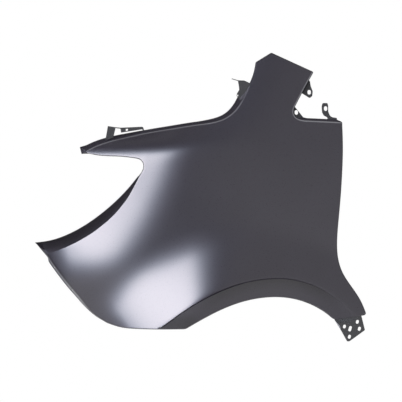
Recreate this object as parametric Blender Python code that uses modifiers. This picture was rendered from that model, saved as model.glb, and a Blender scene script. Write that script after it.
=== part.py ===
"""Left front fender of a large van: one pressed outer skin with its folded edges, and the small
brackets that are welded to it.

Metres. X runs from the front of the vehicle to its rear, Y from outside the vehicle inboard, Z up.
The origin lies on the inboard face of the sill bracket, where that bracket is bolted down.

The skin is a height field, a depth inboard for each place in the side view, cut out along the outline
of the side view. Each stretch of the outline then gets its own fold: a bend, a leg and a lip.
"""

import math
from collections import namedtuple

import bmesh
import bpy
import numpy as np
from mathutils import Matrix, Vector
from mathutils.geometry import delaunay_2d_cdt

OBJECT_NAME = "car_fender"
MM = 0.001
PERCENT = 0.01
HALF = 0.5

# Driving sizes of the pressed skin.
SKIN_LENGTH = 1195 * MM
SKIN_HEIGHT = 991 * MM
SHEET = 0.8 * MM
WELD_GAP = 0.3 * MM

# Side view of the skin, in hundredths of its length from the front tip and of its height from the
# bottom edge. The stretches follow each other clockwise, from the tip above the headlight.
HOOD_LINE_SHARES = (
    (14.6, 64.6), (18.1, 66.7), (22.1, 68.4), (28.0, 70.1), (33.0, 71.4), (40.6, 72.9), (48.8, 74.4),
    (53.2, 75.1), (57.2, 76.5), (60.0, 78.8), (62.4, 82.4), (64.0, 86.0), (65.3, 89.8),
)
HORN_FRONT_SHARES = ((65.3, 89.8), (66.4, 93.2), (67.2, 97.7))
HORN_PEAK_SHARES = ((67.2, 97.7), (71.9, 101.2))
HORN_TOP_SHARES = ((71.9, 101.2), (84.5, 94.0))
HORN_BACK_SHARES = ((84.5, 94.0), (81.1, 86.6), (78.7, 81.1))
NOTCH_TURN_SHARES = ((78.7, 81.1), (78.3, 79.3), (78.8, 77.4), (80.3, 76.2), (82.1, 75.8))
NOTCH_SILL_SHARES = ((82.1, 75.8), (93.0, 75.2))
DOOR_EDGE_SHARES = (
    (93.0, 75.2), (93.1, 66.2), (92.8, 56.0), (92.0, 43.2), (91.4, 35.2), (91.4, 27.0), (92.6, 21.2),
    (95.8, 14.9), (98.4, 10.0), (100.0, 5.4),
)
FOOT_EDGE_SHARES = ((100.0, 5.4), (90.5, 3.8))
WHEEL_ARCH_SHARES = (
    (90.5, 3.8), (86.6, 7.1), (81.1, 10.2), (74.7, 11.7), (68.1, 11.4), (62.0, 9.8), (56.0, 7.0),
    (45.5, 0.0),
)
BOTTOM_EDGE_SHARES = ((45.5, 0.0), (37.9, -0.2), (30.5, -0.2), (25.8, 0.2), (21.2, 1.8))
BUMPER_LINE_SHARES = ((21.2, 1.8), (17.4, 4.9), (13.7, 10.0), (8.8, 17.1), (2.8, 26.7))
HEADLIGHT_WALL_SHARES = (
    (2.8, 26.7), (6.4, 28.2), (10.7, 30.4), (13.9, 32.4), (16.9, 34.6), (20.4, 37.7), (24.0, 41.6),
    (26.3, 44.8), (28.3, 48.1), (30.1, 52.0), (31.8, 56.0),
)
HEADLIGHT_TIP_SHARES = ((31.8, 56.0), (32.8, 58.2), (32.9, 60.0), (32.1, 61.6), (30.2, 62.4))
BEAK_EDGE_SHARES = ((30.2, 62.4), (26.2, 63.0), (19.1, 63.5), (14.6, 64.6))

# The rim of the wall behind the headlight, from the nose to the top, and where the folds end at the two
# pointed corners: each of those places comes with how far round the corner it is.
LIGHT_RIM_SHARES = (
    (-1.0, 30.9), (3.4, 31.7), (9.3, 34.1), (16.2, 38.7), (20.2, 42.2), (24.2, 46.3), (28.2, 51.2),
    (31.5, 56.1),
)
NOSE_TIP_SHARES = ((0.5, (-1.0, 30.9)),)
BEAK_TIP_SHARES = ((0.5, (13.7, 64.0)), (0.75, (13.2, 66.4)))

# The crest of the wheel flare, in the same hundredths, run on past both ends of the skin.
FLARE_CREST_SHARES = (
    (31.9, -5.1), (38.0, 0.0), (43.2, 4.7), (48.8, 9.2), (54.3, 12.8), (59.9, 15.6), (65.4, 17.4),
    (71.2, 18.3), (76.4, 18.2), (81.6, 16.9), (85.8, 15.0), (90.6, 11.5), (95.3, 6.5), (100.0, 0.3),
)

# Where the roll towards the nose starts: along the headlight, then on up through the beak.
ROLL_LINE_SHARES = (
    (-4.5, 22.0), (-0.8, 24.4), (3.6, 27.6), (8.9, 29.2), (12.8, 31.6), (17.1, 34.6), (20.6, 37.7),
    (24.1, 41.6), (26.4, 44.9), (28.8, 49.4), (31.1, 54.5), (32.8, 59.6), (34.0, 65.0), (34.9, 72.3),
    (35.5, 81.4), (35.8, 90.4),
)

# Form of the skin. Slopes are depth inboard for each metre along the side view.
CROWN_RADIUS = 3570 * MM
CROWN_HEIGHT_SHARE = 23.2
WRAP_START_SHARE = 86.1
WRAP_LEAN = 0.67
WRAP_RADIUS = 3600 * MM
WRAP_SOFTNESS = 60 * MM
NOSE_DEPTH = 16 * MM
NOSE_REACH = 720 * MM
NOSE_POWER = 6
NOSE_TURN_SHARE = 10.5
NOSE_TURN_RADIUS = 210 * MM
NOSE_TURN_SOFTNESS = 12 * MM
ROLL_SLOPE = 0.27
ROLL_BEAK_SLOPE = 0.31
ROLL_REACH = 200 * MM
ROLL_EVEN_SHARE = 0.10
SHOULDER_HEIGHT_SHARE = 66.5
SHOULDER_SLOPE = 1.8
SHOULDER_REAR_SLOPE = 0.30
SHOULDER_SOFTNESS = 36 * MM
SHOULDER_FADE_SHARE = 43.4
SHOULDER_FADE = 90 * MM
FLARE_SLOPE = 0.51
FLARE_REAR_SLOPE = 0.20
FLARE_SLOPE_SHARES = (44.5, 81.0)
FLARE_REACH = 265 * MM
FLARE_REAR_REACH = 170 * MM
FLARE_REACH_SHARES = (47.0, 89.0)
FLARE_EVEN_SHARE = 0.44
FLARE_NOSE_AMOUNT = 0.40
FLARE_NOSE_SHARE = 34.9
FLARE_NOSE_FADE = 120 * MM
BAND_SLOPE = 0.10
CREST_BEND = 4 * MM
CREST_SOFTNESS = 7 * MM

# Folds along the outline. The rise shows outside the bend line in the side view, the depth runs
# inboard, and the lip is the last strip of the sheet.
BEND = 3 * MM
LIP_SHARE = 0.25
HOOD_RISE = 26 * MM
HOOD_RISE_SHARES = (
    (0, 0.75), (0.15, 0.62), (0.35, 0.42), (0.62, 0.42), (0.80, 0.62), (0.92, 0.80), (1, 0.15),
)
HOOD_WALL_DEPTH = 22 * MM
HOOD_WALL_DEPTH_SHARES = ((0, 0.6), (0.12, 1), (0.88, 1), (1, 0.6))
HOOD_LEDGE = 20 * MM
HOOD_LEDGE_SHARES = ((0, 0.4), (0.12, 1), (0.88, 1), (1, 0.3))
HORN_RISE = 1.5 * MM
WINDOW_RISE = 7 * MM
HORN_BACK_RISE_SHARES = ((0, 0.2), (0.7, 0.2), (1, 1))
SILL_RISE_SHARES = ((0, 1), (0.85, 1), (1, 0.3))
WINDOW_DEPTH = 12 * MM
DOOR_RISE = 1.5 * MM
DOOR_DEPTH = 12 * MM
FOOT_RISE = 1.5 * MM
FOOT_SLOPE = 0.06
ARCH_RISE = 2 * MM
ARCH_DEPTH = 16 * MM
ARCH_DEPTH_SHARES = ((0, 0.02), (0.03, 0.1), (0.1, 1), (1, 1))
BOTTOM_RISE = 1.5 * MM
BOTTOM_DEPTH = 10 * MM
BUMPER_RISE = 26 * MM
BUMPER_RISE_SHARES = ((0, 0.05), (0.2, 0.15), (0.35, 0.28), (0.55, 0.34), (0.92, 0.34), (1, 0.04))
BUMPER_DEPTH = 20 * MM
LIGHT_RISE = 35 * MM
LIGHT_RISE_SHARES = (
    (0, 1), (0.2, 0.96), (0.4, 0.9), (0.6, 0.76), (0.75, 0.62), (0.85, 0.46), (0.95, 0.18), (1, 0.04),
)
LIGHT_DEPTH = 80 * MM
LIGHT_DEPTH_SHARES = (
    (0, 0.9), (0.1, 1), (0.3, 0.97), (0.6, 0.76), (0.75, 0.58), (0.85, 0.4), (0.95, 0.25), (1, 0.19),
)
BEAK_RISE = 1.5 * MM
BEAK_DEPTH = 15 * MM

# How finely the sheet is divided.
SKIN_GRID = 30 * MM
CREST_STEP = 18 * MM
CORNER_CUT = 7 * MM
BEAK_CORNER_CUT = 17 * MM
LIGHT_CORNER_CUT = 11 * MM
CORNER_STEPS = 3
BEND_STEPS = 3
LONG_STEP = 25 * MM
MIDDLE_STEP = 19 * MM
FINE_STEP = 8 * MM

# Slots in the hood ledge and holes in the bumper flange.
LEDGE_SLOT_LENGTH = 12 * MM
LEDGE_SLOT_WIDTH = 7 * MM
LEDGE_SLOT_SHARES = (0.40, 0.56, 0.72)
BUMPER_HOLE = 6.5 * MM
BUMPER_HOLE_SHARES = (0.22, 0.52, 0.84)
CUT_OVERRUN = 6 * MM
ROUND_FACETS = 20

# Sill bracket: its outline and slots in the hundredths of the side view.
SILL_PLATE = 2.0 * MM
SILL_OUTLINE_SHARES = (
    (90.4, 3.6), (92.6, -0.8), (94.3, -4.5), (95.0, -4.5), (99.7, -0.4), (98.4, 5.8), (95.9, 10.0),
    (92.6, 7.2),
)
SILL_BOLT_SHARES = (96.6, -1.9)
SILL_LAP_SLACK = 0.8 * MM
SILL_JOGGLE = 14 * MM
SILL_JOGGLE_START = 7 * MM
SILL_SLOT_WIDTH = 10 * MM
SILL_SLOT_TURN = math.radians(-17)
SILL_SLOTS = (
    ((93.5, 0.9), 13.5 * MM), ((95.2, 0.1), 20 * MM), ((97.4, 2.6), 14 * MM), ((98.0, 0.1), 15 * MM),
    ((95.0, -2.8), 14.5 * MM),
)

# Small tabs, in the same hundredths: outline, hole and its width and height.
TAB_PLATE = 1.5 * MM
TAB_GRID = 10 * MM
SEAT_STEPS = 9
SEAT_MARGIN = 1 * MM
TAB_CORNER = 3 * MM
COWL_WEB_SHARES = (
    (61.5, 90.4), (63.4, 90.5), (64.8, 91.0), (67.0, 91.6), (67.0, 88.6), (65.7, 84.1), (62.6, 83.3),
    (61.9, 86.5),
)
COWL_SHELF_ENDS_SHARES = (59.6, 63.6)
COWL_SHELF_SHARE = 90.2
COWL_SHELF_DEPTH = 30 * MM
PILLAR_TAB_SHARES = (
    (83.6, 90.6), (83.8, 88.7), (84.4, 86.8), (84.2, 85.0), (83.4, 84.3), (81.2, 86.0), (79.4, 87.2),
    (80.6, 90.9), (82.2, 92.2),
)
PILLAR_HOLE_SHARES = (83.3, 86.5)
GUSSET_SHARES = (
    (78.9, 81.0), (80.0, 79.3), (81.4, 77.1), (82.6, 76.8), (82.9, 74.5), (79.6, 74.5), (77.2, 77.5),
    (77.2, 81.4),
)
GUSSET_HOLE_SHARES = (79.3, 79.0)
WINDOW_TAB_SHARES = (
    (87.3, 82.4), (88.8, 82.4), (89.0, 81.5), (89.0, 79.2), (89.5, 77.7), (90.2, 77.1), (91.6, 76.9),
    (91.6, 74.0), (88.8, 74.0), (88.7, 77.1), (87.6, 77.8), (87.1, 78.9), (87.0, 81.2),
)
WINDOW_TAB_HOLE_SHARES = (88.2, 80.4)
TAB_HOLE_WIDTH = 12 * MM
TAB_HOLE_HEIGHT = 17 * MM

# Rail bracket on the hood ledge: a folded channel with a foot, an upright web and a level top.
RAIL_PLATE = 1.5 * MM
RAIL_ENDS_SHARES = (22.0, 32.9)
RAIL_TOP_SHARE = 73.8
RAIL_TOP_DEPTH = 42 * MM
RAIL_FOOT_DEPTH = 14 * MM
RAIL_FOOT_SETBACK = 2.5 * MM
RAIL_BEND = 3 * MM
RAIL_STATIONS = 15
RAIL_WINDOW_SHARES = (24.6, 25.8)
RAIL_HOLE_SHARES = (27.0, 72.3)
RAIL_HOLE_WIDTH = 15 * MM
RAIL_HOLE_HEIGHT = 10 * MM
RAIL_SLOT_SHARE = 30.0
RAIL_SLOT_LENGTH = 16 * MM
RAIL_SLOT_WIDTH = 9 * MM

PRIMER_COLOUR = (0.020, 0.020, 0.023, 1)
PRIMER_ROUGHNESS = 0.32
BRACKET_COLOUR = (0.026, 0.026, 0.030, 1)
BRACKET_ROUGHNESS = 0.38

Edge = namedtuple("Edge", "name shares step cut rise depth ledge")


def side_view(shares):
    """Places in the side view, in metres from the origin, for places given in hundredths."""
    pairs = np.array(shares, float) * PERCENT
    bolt = np.array(SILL_BOLT_SHARES) * PERCENT
    return (pairs - bolt) * np.array((SKIN_LENGTH, SKIN_HEIGHT))


def across(share):
    """The X of a place that is given in hundredths of the skin's length."""
    return (share - SILL_BOLT_SHARES[0]) * PERCENT * SKIN_LENGTH


def upward(share):
    """The Z of a place that is given in hundredths of the skin's height."""
    return (share - SILL_BOLT_SHARES[1]) * PERCENT * SKIN_HEIGHT


def smooth_step(value):
    value = np.clip(value, 0, 1)
    return value * value * (3 - 2 * value)


def soft_ramp(value, softness):
    """Zero below nothing and the value itself above it, with a rounded turn between."""
    return HALF * (value + np.sqrt(value * value + softness * softness))


def natural_spline(points, count):
    """Even steps along the natural cubic spline through the points, measured by chord length."""
    points = np.asarray(points, float)
    knots = np.r_[0, np.cumsum(np.hypot(*np.diff(points, axis=0).T))]
    gaps = np.diff(knots)
    size = len(points)
    system = np.eye(size)
    right = np.zeros((size, 2))
    rises = np.diff(points, axis=0) / gaps[:, None]
    for i in range(1, size - 1):
        system[i, i - 1:i + 2] = gaps[i - 1], 2 * (gaps[i - 1] + gaps[i]), gaps[i]
        right[i] = 6 * (rises[i] - rises[i - 1])
    bends = np.linalg.solve(system, right)
    at = np.linspace(0, knots[-1], count)
    k = np.clip(np.searchsorted(knots, at, side="right") - 1, 0, size - 2)
    before = (at - knots[k])[:, None]
    after = (knots[k + 1] - at)[:, None]
    gap = gaps[k][:, None]
    cubic = (bends[k] * after**3 + bends[k + 1] * before**3) / (6 * gap)
    start = (points[k] / gap - bends[k] * gap / 6) * after
    end = (points[k + 1] / gap - bends[k + 1] * gap / 6) * before
    return cubic + start + end


def nearest_on(line, x, z):
    """Distance from each place to a polyline, positive on the left of its direction."""
    spots = np.stack([x, z], axis=-1)[..., None, :]
    starts, steps = line[:-1], np.diff(line, axis=0)
    along = ((spots - starts) * steps).sum(-1) / (steps * steps).sum(-1)
    feet = starts + np.clip(along, 0, 1)[..., None] * steps
    gaps = np.linalg.norm(spots - feet, axis=-1)
    best = gaps.argmin(-1)
    reach = np.take_along_axis(gaps, best[..., None], -1)[..., 0]
    offset = np.stack([x, z], axis=-1) - starts[best]
    turn = steps[best][..., 0] * offset[..., 1] - steps[best][..., 1] * offset[..., 0]
    return reach * np.where(turn < 0, -1, 1)


def eased_rise(distance, reach, slope, even_share):
    """Height left to climb at a distance from a crest: an even slope, easing to nothing at the reach."""
    u = np.clip(distance / reach, 0, 1)
    v = np.clip((u - even_share) / (1 - even_share), 0, 1)
    even = np.maximum(even_share - u, 0)
    eased = (1 - even_share) * (HALF - v + v**3 - HALF * v**4)
    return slope * reach * (even + eased)


FIELD_STEPS = 80
ROLL_LINE = natural_spline(side_view(ROLL_LINE_SHARES), FIELD_STEPS)
CREST_LINE = natural_spline(side_view(FLARE_CREST_SHARES), FIELD_STEPS)


def crown(z):
    """The side of the vehicle is barrel-shaped, widest just above the wheel arch."""
    return (z - upward(CROWN_HEIGHT_SHARE)) ** 2 / (2 * CROWN_RADIUS)


def fade(x, middle, reach):
    """1 far behind a place, 0 far in front of it."""
    return 1 / (1 + np.exp((middle - x) / reach))


def wrap(x, z):
    """Seen from above, the skin curves in towards the front, and faster at the nose."""
    start = across(WRAP_START_SHARE) - WRAP_LEAN * (z - upward(CROWN_HEIGHT_SHARE))
    ahead = soft_ramp(start - x, WRAP_SOFTNESS)
    turn = soft_ramp(across(NOSE_TURN_SHARE) - x, NOSE_TURN_SOFTNESS)
    bow = ahead**2 / (2 * WRAP_RADIUS) + turn**2 / (2 * NOSE_TURN_RADIUS)
    return bow + NOSE_DEPTH * (ahead / NOSE_REACH) ** NOSE_POWER


def roll(x, z):
    """The skin rolls in towards the headlight, and goes on evenly in through the beak."""
    gap = -nearest_on(ROLL_LINE, x, z)
    return eased_rise(np.maximum(gap, 0), ROLL_REACH, ROLL_SLOPE, ROLL_EVEN_SHARE) + (
        ROLL_BEAK_SLOPE * np.maximum(-gap, 0)
    )


def shoulder(x, z):
    """Above the headlight the skin turns up to meet the hood, and less so towards the door."""
    rear = fade(x, across(SHOULDER_FADE_SHARE), SHOULDER_FADE)
    slope = SHOULDER_SLOPE + (SHOULDER_REAR_SLOPE - SHOULDER_SLOPE) * rear
    return slope * soft_ramp(z - upward(SHOULDER_HEIGHT_SHARE), SHOULDER_SOFTNESS)


def flare_forward(x, shares):
    """1 in front of the first share of the length, 0 behind the second."""
    front, rear = across(shares[0]), across(shares[1])
    return smooth_step((rear - x) / (rear - front))


def flare(x, z):
    """The swelling round the wheel arch, up to a crest, with a flat band between crest and edge."""
    gap = nearest_on(CREST_LINE, x, z)
    slope = FLARE_REAR_SLOPE + (FLARE_SLOPE - FLARE_REAR_SLOPE) * flare_forward(x, FLARE_SLOPE_SHARES)
    reach = FLARE_REAR_REACH + (FLARE_REACH - FLARE_REAR_REACH) * flare_forward(x, FLARE_REACH_SHARES)
    rear = fade(x, across(FLARE_NOSE_SHARE), FLARE_NOSE_FADE)
    amount = FLARE_NOSE_AMOUNT + (1 - FLARE_NOSE_AMOUNT) * rear
    climb = np.hypot(np.maximum(gap, 0), CREST_SOFTNESS) - CREST_SOFTNESS
    outside = amount * eased_rise(climb, reach, slope, FLARE_EVEN_SHARE)
    return outside - BAND_SLOPE * np.maximum(-gap, 0)


def raw_depth(x, z):
    return crown(z) + wrap(x, z) + roll(x, z) + shoulder(x, z) - flare(x, z)


def lap_depth():
    """Depth of the skin at the corner of its foot, where the sill bracket laps behind it."""
    corner = side_view((FOOT_EDGE_SHARES[0], FOOT_EDGE_SHARES[1])).mean(axis=0)
    return raw_depth(corner[:1], corner[1:])[0]


SKIN_OFFSET = -lap_depth() - SHEET - WELD_GAP - SILL_PLATE


def skin_depth(x, z):
    """Y of the skin's outside face. The bolted face of the sill bracket is at zero."""
    return raw_depth(x, z) + SKIN_OFFSET


def share_table(pairs, size):
    """A size that varies along an edge, as a function of the share of the edge's length."""
    at, shares = np.array(pairs, float).T
    return lambda along: size * np.interp(along, at, shares)


def steady(size):
    return lambda along: np.full(np.shape(along), size)


def edges():
    """The stretches of the outline, each with its fold, clockwise."""
    window = (steady(WINDOW_RISE), steady(WINDOW_DEPTH), None)
    horn_back = (share_table(HORN_BACK_RISE_SHARES, WINDOW_RISE), steady(WINDOW_DEPTH), None)
    notch_sill = (share_table(SILL_RISE_SHARES, WINDOW_RISE), steady(WINDOW_DEPTH), None)
    horn = (steady(HORN_RISE), steady(WINDOW_DEPTH), None)
    hood = (
        share_table(HOOD_RISE_SHARES, HOOD_RISE),
        share_table(HOOD_WALL_DEPTH_SHARES, HOOD_WALL_DEPTH),
        share_table(HOOD_LEDGE_SHARES, HOOD_LEDGE),
    )
    light = (share_table(LIGHT_RISE_SHARES, LIGHT_RISE), share_table(LIGHT_DEPTH_SHARES, LIGHT_DEPTH), None)
    bumper = (share_table(BUMPER_RISE_SHARES, BUMPER_RISE), steady(BUMPER_DEPTH), None)
    beak = (steady(BEAK_RISE), steady(BEAK_DEPTH), None)
    door = (steady(DOOR_RISE), steady(DOOR_DEPTH), None)
    foot = (steady(FOOT_RISE), steady(FOOT_SLOPE * FOOT_RISE), None)
    arch = (steady(ARCH_RISE), share_table(ARCH_DEPTH_SHARES, ARCH_DEPTH), None)
    bottom = (steady(BOTTOM_RISE), steady(BOTTOM_DEPTH), None)
    return (
        Edge("hood_line", HOOD_LINE_SHARES, MIDDLE_STEP, BEAK_CORNER_CUT, *hood),
        Edge("horn_front", HORN_FRONT_SHARES, MIDDLE_STEP, CORNER_CUT, *horn),
        Edge("horn_peak", HORN_PEAK_SHARES, LONG_STEP, CORNER_CUT, *horn),
        Edge("horn_top", HORN_TOP_SHARES, LONG_STEP, CORNER_CUT, *horn),
        Edge("horn_back", HORN_BACK_SHARES, MIDDLE_STEP, CORNER_CUT, *horn_back),
        Edge("notch_turn", NOTCH_TURN_SHARES, FINE_STEP, CORNER_CUT, *window),
        Edge("notch_sill", NOTCH_SILL_SHARES, LONG_STEP, CORNER_CUT, *notch_sill),
        Edge("door_edge", DOOR_EDGE_SHARES, LONG_STEP, CORNER_CUT, *door),
        Edge("foot_edge", FOOT_EDGE_SHARES, MIDDLE_STEP, CORNER_CUT, *foot),
        Edge("wheel_arch", WHEEL_ARCH_SHARES, MIDDLE_STEP, CORNER_CUT, *arch),
        Edge("bottom_edge", BOTTOM_EDGE_SHARES, LONG_STEP, CORNER_CUT, *bottom),
        Edge("bumper_line", BUMPER_LINE_SHARES, LONG_STEP, CORNER_CUT, *bumper),
        Edge("headlight_wall", HEADLIGHT_WALL_SHARES, MIDDLE_STEP, LIGHT_CORNER_CUT, *light),
        Edge("headlight_tip", HEADLIGHT_TIP_SHARES, FINE_STEP, CORNER_CUT, *beak),
        Edge("beak_edge", BEAK_EDGE_SHARES, MIDDLE_STEP, CORNER_CUT, *beak),
    )


def trimmed(edge, cut_end):
    """One stretch of the outline as even steps, cut back at both ends to make room for the corners."""
    points = side_view(edge.shares)
    fine = natural_spline(points, FIELD_STEPS)
    walk = np.r_[0, np.cumsum(np.hypot(*np.diff(fine, axis=0).T))]
    count = max(3, round((walk[-1] - edge.cut - cut_end) / edge.step) + 1)
    at = np.linspace(edge.cut, walk[-1] - cut_end, count)
    return np.column_stack([np.interp(at, walk, fine[:, k]) for k in (0, 1)]), at / walk[-1]


def fold_sizes(edge, along):
    """Rise and depth of the leg, then rise and depth of the lip, at shares of one edge."""
    rise, depth = edge.rise(along), edge.depth(along)
    if edge.ledge:
        return np.column_stack([rise, depth, np.zeros_like(rise), edge.ledge(along)])
    return np.column_stack([rise, depth, LIP_SHARE * rise, LIP_SHARE * depth])


def outline():
    """The whole outline with rounded corners: places and fold sizes, and the edges by name.

    Each name has the index of the edge's first place, the shares along it, and the corner before it.
    """
    stretches = edges()
    runs = [trimmed(a, b.cut) for a, b in zip(stretches, stretches[1:] + stretches[:1])]
    sizes = [fold_sizes(edge, along) for edge, (_, along) in zip(stretches, runs)]
    places, folds, spans, count = [], [], {}, 0
    t = np.linspace(0, 1, CORNER_STEPS + 2)[1:-1, None]
    for k, (edge, (run, along)) in enumerate(zip(stretches, runs)):
        following = (k + 1) % len(stretches)
        start = runs[following][0][0]
        corner = side_view(stretches[following].shares[0])
        turn = (1 - t) ** 2 * run[-1] + 2 * t * (1 - t) * corner + t**2 * start
        places += [run, turn]
        folds += [sizes[k], (1 - t) * sizes[k][-1] + t * sizes[following][0]]
        spans[edge.name] = (count, along, side_view(edge.shares[0]))
        count += len(run) + len(turn)
    return np.vstack(places), np.vstack(folds), spans


def outward_normals(places):
    """Unit normals of the clockwise outline, pointing out of the skin."""
    run = np.roll(places, -1, axis=0) - np.roll(places, 1, axis=0)
    normals = np.column_stack([-run[:, 1], run[:, 0]])
    return normals / np.linalg.norm(normals, axis=1)[:, None]


def unit(vectors):
    return vectors / np.linalg.norm(vectors, axis=-1)[..., None]


def fold_reaches(places, normals, folds, spans):
    """Which way each leg points in the side view, so that it ends where it should.

    Most legs point outwards. The wall behind the headlight ends on its own rim, and at the two pointed
    corners the ends run straight from tip to tip.
    """
    reaches = normals.copy()
    rise = folds[:, :1] + folds[:, 2:3]
    start, along, _ = spans["headlight_wall"]
    wall = slice(start, start + len(along))
    rim = natural_spline(side_view(LIGHT_RIM_SHARES), FIELD_STEPS)
    steps = np.linspace(0, 1, FIELD_STEPS)
    goals = np.column_stack([np.interp(along, steps, rim[:, axis]) for axis in (0, 1)])
    reaches[wall] = (goals - places[wall]) / rise[wall]
    tops = places + reaches * rise
    for edge, tips in (("headlight_wall", NOSE_TIP_SHARES), ("hood_line", BEAK_TIP_SHARES)):
        last = spans[edge][0]
        first = last - CORNER_STEPS - 1
        at = [0, *(share for share, _ in tips), 1]
        path = np.vstack([tops[first], *(side_view(place) for _, place in tips), tops[last]])
        for k in range(1, CORNER_STEPS + 1):
            goal = [np.interp(k / (CORNER_STEPS + 1), at, path[:, axis]) for axis in (0, 1)]
            reaches[first + k] = (goal - places[first + k]) / rise[first + k]
    return reaches


def inner_rim(places, normals, spans):
    """Where the bends start: one bend inside the outline, with corners that are drawn afresh.

    Each corner is a quadratic curve towards the place where the lines on both sides of it would meet.
    """
    rim = places - BEND * normals
    t = np.linspace(0, 1, CORNER_STEPS + 2)[1:-1, None]
    for start, _, corner in spans.values():
        first = start - CORNER_STEPS - 1
        a, b = normals[first], normals[start]
        middle = corner - BEND * (a + b) / (1 + a @ b)
        turn = (1 - t) ** 2 * rim[first] + 2 * t * (1 - t) * middle + t**2 * rim[start]
        rim[first + 1 + np.arange(CORNER_STEPS)] = turn
    return rim


def on_skin(places):
    return np.column_stack([places[:, 0], skin_depth(*places.T), places[:, 1]])


def fold_rings(places, rim, reaches, folds):
    """Rings of points round the skin: its rim, the bend, the end of the leg and the end of the lip.

    The bend is a quadratic curve from the rim to the leg, with its middle control point on the outline.
    """
    out = np.column_stack([reaches[:, 0], np.zeros(len(reaches)), reaches[:, 1]])
    inboard = np.array((0, 1, 0))
    leg = out * folds[:, :1] + inboard * folds[:, 1:2]
    lip = out * folds[:, 2:3] + inboard * folds[:, 3:4]
    spot, control = on_skin(rim), on_skin(places)
    end = control + BEND * unit(leg)
    rings = []
    for t in np.linspace(0, 1, BEND_STEPS + 1):
        rings.append((1 - t) ** 2 * spot + 2 * t * (1 - t) * control + t * t * end)
    return np.stack([*rings, end + leg, end + leg + lip])


def inside(outline_points, spots):
    """Which spots lie inside a closed polygon."""
    x, z = spots[:, 0][:, None], spots[:, 1][:, None]
    a, b = outline_points, np.roll(outline_points, -1, axis=0)
    spans = (a[:, 1] > z) != (b[:, 1] > z)
    rise = np.where(b[:, 1] == a[:, 1], 1, b[:, 1] - a[:, 1])
    crossing = a[:, 0] + (z - a[:, 1]) * (b[:, 0] - a[:, 0]) / rise
    return ((spans & (x < crossing)).sum(axis=1) % 2).astype(bool)


def grid_spots(rim, step):
    """Staggered grid inside an outline, kept clear of it."""
    low, high = rim.min(axis=0), rim.max(axis=0)
    row_step = step * math.sin(math.radians(60))
    rows = np.arange(low[1] + HALF * row_step, high[1], row_step)
    spots = [
        (x, z)
        for k, z in enumerate(rows)
        for x in np.arange(low[0] + HALF * step * (k % 2), high[0], step)
    ]
    spots = np.array(spots)
    spots = spots[inside(rim, spots)]
    closed = np.vstack([rim, rim[:1]])
    return spots[np.abs(nearest_on(closed, *spots.T)) > HALF * step]


def crest_rows(rim):
    """Two rows of places, one each side of the flare's crest, as wide apart as its bend."""
    length = np.hypot(*np.diff(CREST_LINE, axis=0).T).sum()
    line = natural_spline(side_view(FLARE_CREST_SHARES), round(length / CREST_STEP))
    normals = unit(np.gradient(line, axis=0)) @ np.array(((0, 1), (-1, 0)))
    rows = np.vstack([line + CREST_BEND * normals, line - CREST_BEND * normals])
    closed = np.vstack([rim, rim[:1]])
    keep = inside(rim, rows) & (np.abs(nearest_on(closed, *rows.T)) > 2 * CREST_BEND)
    return rows[keep]


def triangles(rim, spots):
    """Delaunay triangles of the rim and the spots inside it, as indices into both, anticlockwise."""
    points = [Vector(p) for p in np.vstack([rim, spots])]
    ring = list(range(len(rim)))
    result = delaunay_2d_cdt(points, [], [ring], 1, MM * PERCENT)
    sources = [origin[0] for origin in result[3]]
    faces = []
    for face in result[2]:
        corners = [sources[i] for i in face]
        a, b, c = (points[i] for i in corners)
        area = (b - a).cross(c - a)
        faces.append(corners if area > 0 else corners[::-1])
    return faces


def mesh_object(name, points, faces, colour, roughness):
    mesh = bpy.data.meshes.new(name)
    mesh.from_pydata([tuple(p) for p in points], [], faces)
    mesh.validate()
    mesh.update()
    obj = bpy.data.objects.new(name, mesh)
    bpy.data.collections[OBJECT_NAME].objects.link(obj)
    obj.data.materials.append(painted(name, colour, roughness))
    mesh.shade_smooth()
    mesh.set_sharp_from_angle(angle=math.radians(30))
    return obj


def painted(name, colour, roughness):
    material = bpy.data.materials.new(name + "_paint")
    material.use_nodes = True
    surface = material.node_tree.nodes["Principled BSDF"]
    surface.inputs["Base Color"].default_value = colour
    surface.inputs["Roughness"].default_value = roughness
    surface.inputs["Metallic"].default_value = 0
    return material


def thicken(obj, thickness):
    """A wall behind the faces, on the side that their normals point away from."""
    wall = obj.modifiers.new("wall", "SOLIDIFY")
    wall.thickness = thickness
    wall.offset = -1
    wall.use_even_offset = True
    return wall


def cutter(name, outline_points, depth):
    """A prism in the local XY plane, centred on it and closed at both ends."""
    bm = bmesh.new()
    count = len(outline_points)
    low = [bm.verts.new((x, y, -depth * HALF)) for x, y in outline_points]
    high = [bm.verts.new((x, y, depth * HALF)) for x, y in outline_points]
    bm.faces.new(low[::-1])
    bm.faces.new(high)
    for i in range(count):
        j = (i + 1) % count
        bm.faces.new((low[i], low[j], high[j], high[i]))
    mesh = bpy.data.meshes.new(name)
    bm.to_mesh(mesh)
    bm.free()
    obj = bpy.data.objects.new(name, mesh)
    bpy.data.collections["cutters"].objects.link(obj)
    obj.hide_render = True
    obj.display_type = "WIRE"
    return obj


def slot_outline(length, width):
    """A slot with round ends, long along X; a round hole where length and width are equal."""
    radius = HALF * width
    reach = HALF * (length - width)
    half = ROUND_FACETS // 2
    ends = []
    for side in (1, -1):
        for k in range(half + 1):
            turn = math.pi * (k / half - HALF)
            ends.append((side * (reach + radius * math.cos(turn)), side * radius * math.sin(turn)))
    if length > width:
        return ends
    return ends[:half] + ends[half + 1:-1]


def cut(obj, tool):
    hole = obj.modifiers.new(tool.name, "BOOLEAN")
    hole.operation = "DIFFERENCE"
    hole.solver = "EXACT"
    hole.object = tool


def aimed(tool, centre, along, normal):
    """Puts a cutter at a point with its length along one direction and its depth along another."""
    z = Vector(normal).normalized()
    x = Vector(along)
    x = (x - x.project(z)).normalized()
    y = z.cross(x)
    turn = Matrix((x, y, z)).transposed().to_4x4()
    tool.matrix_world = Matrix.Translation(Vector(centre)) @ turn


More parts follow.
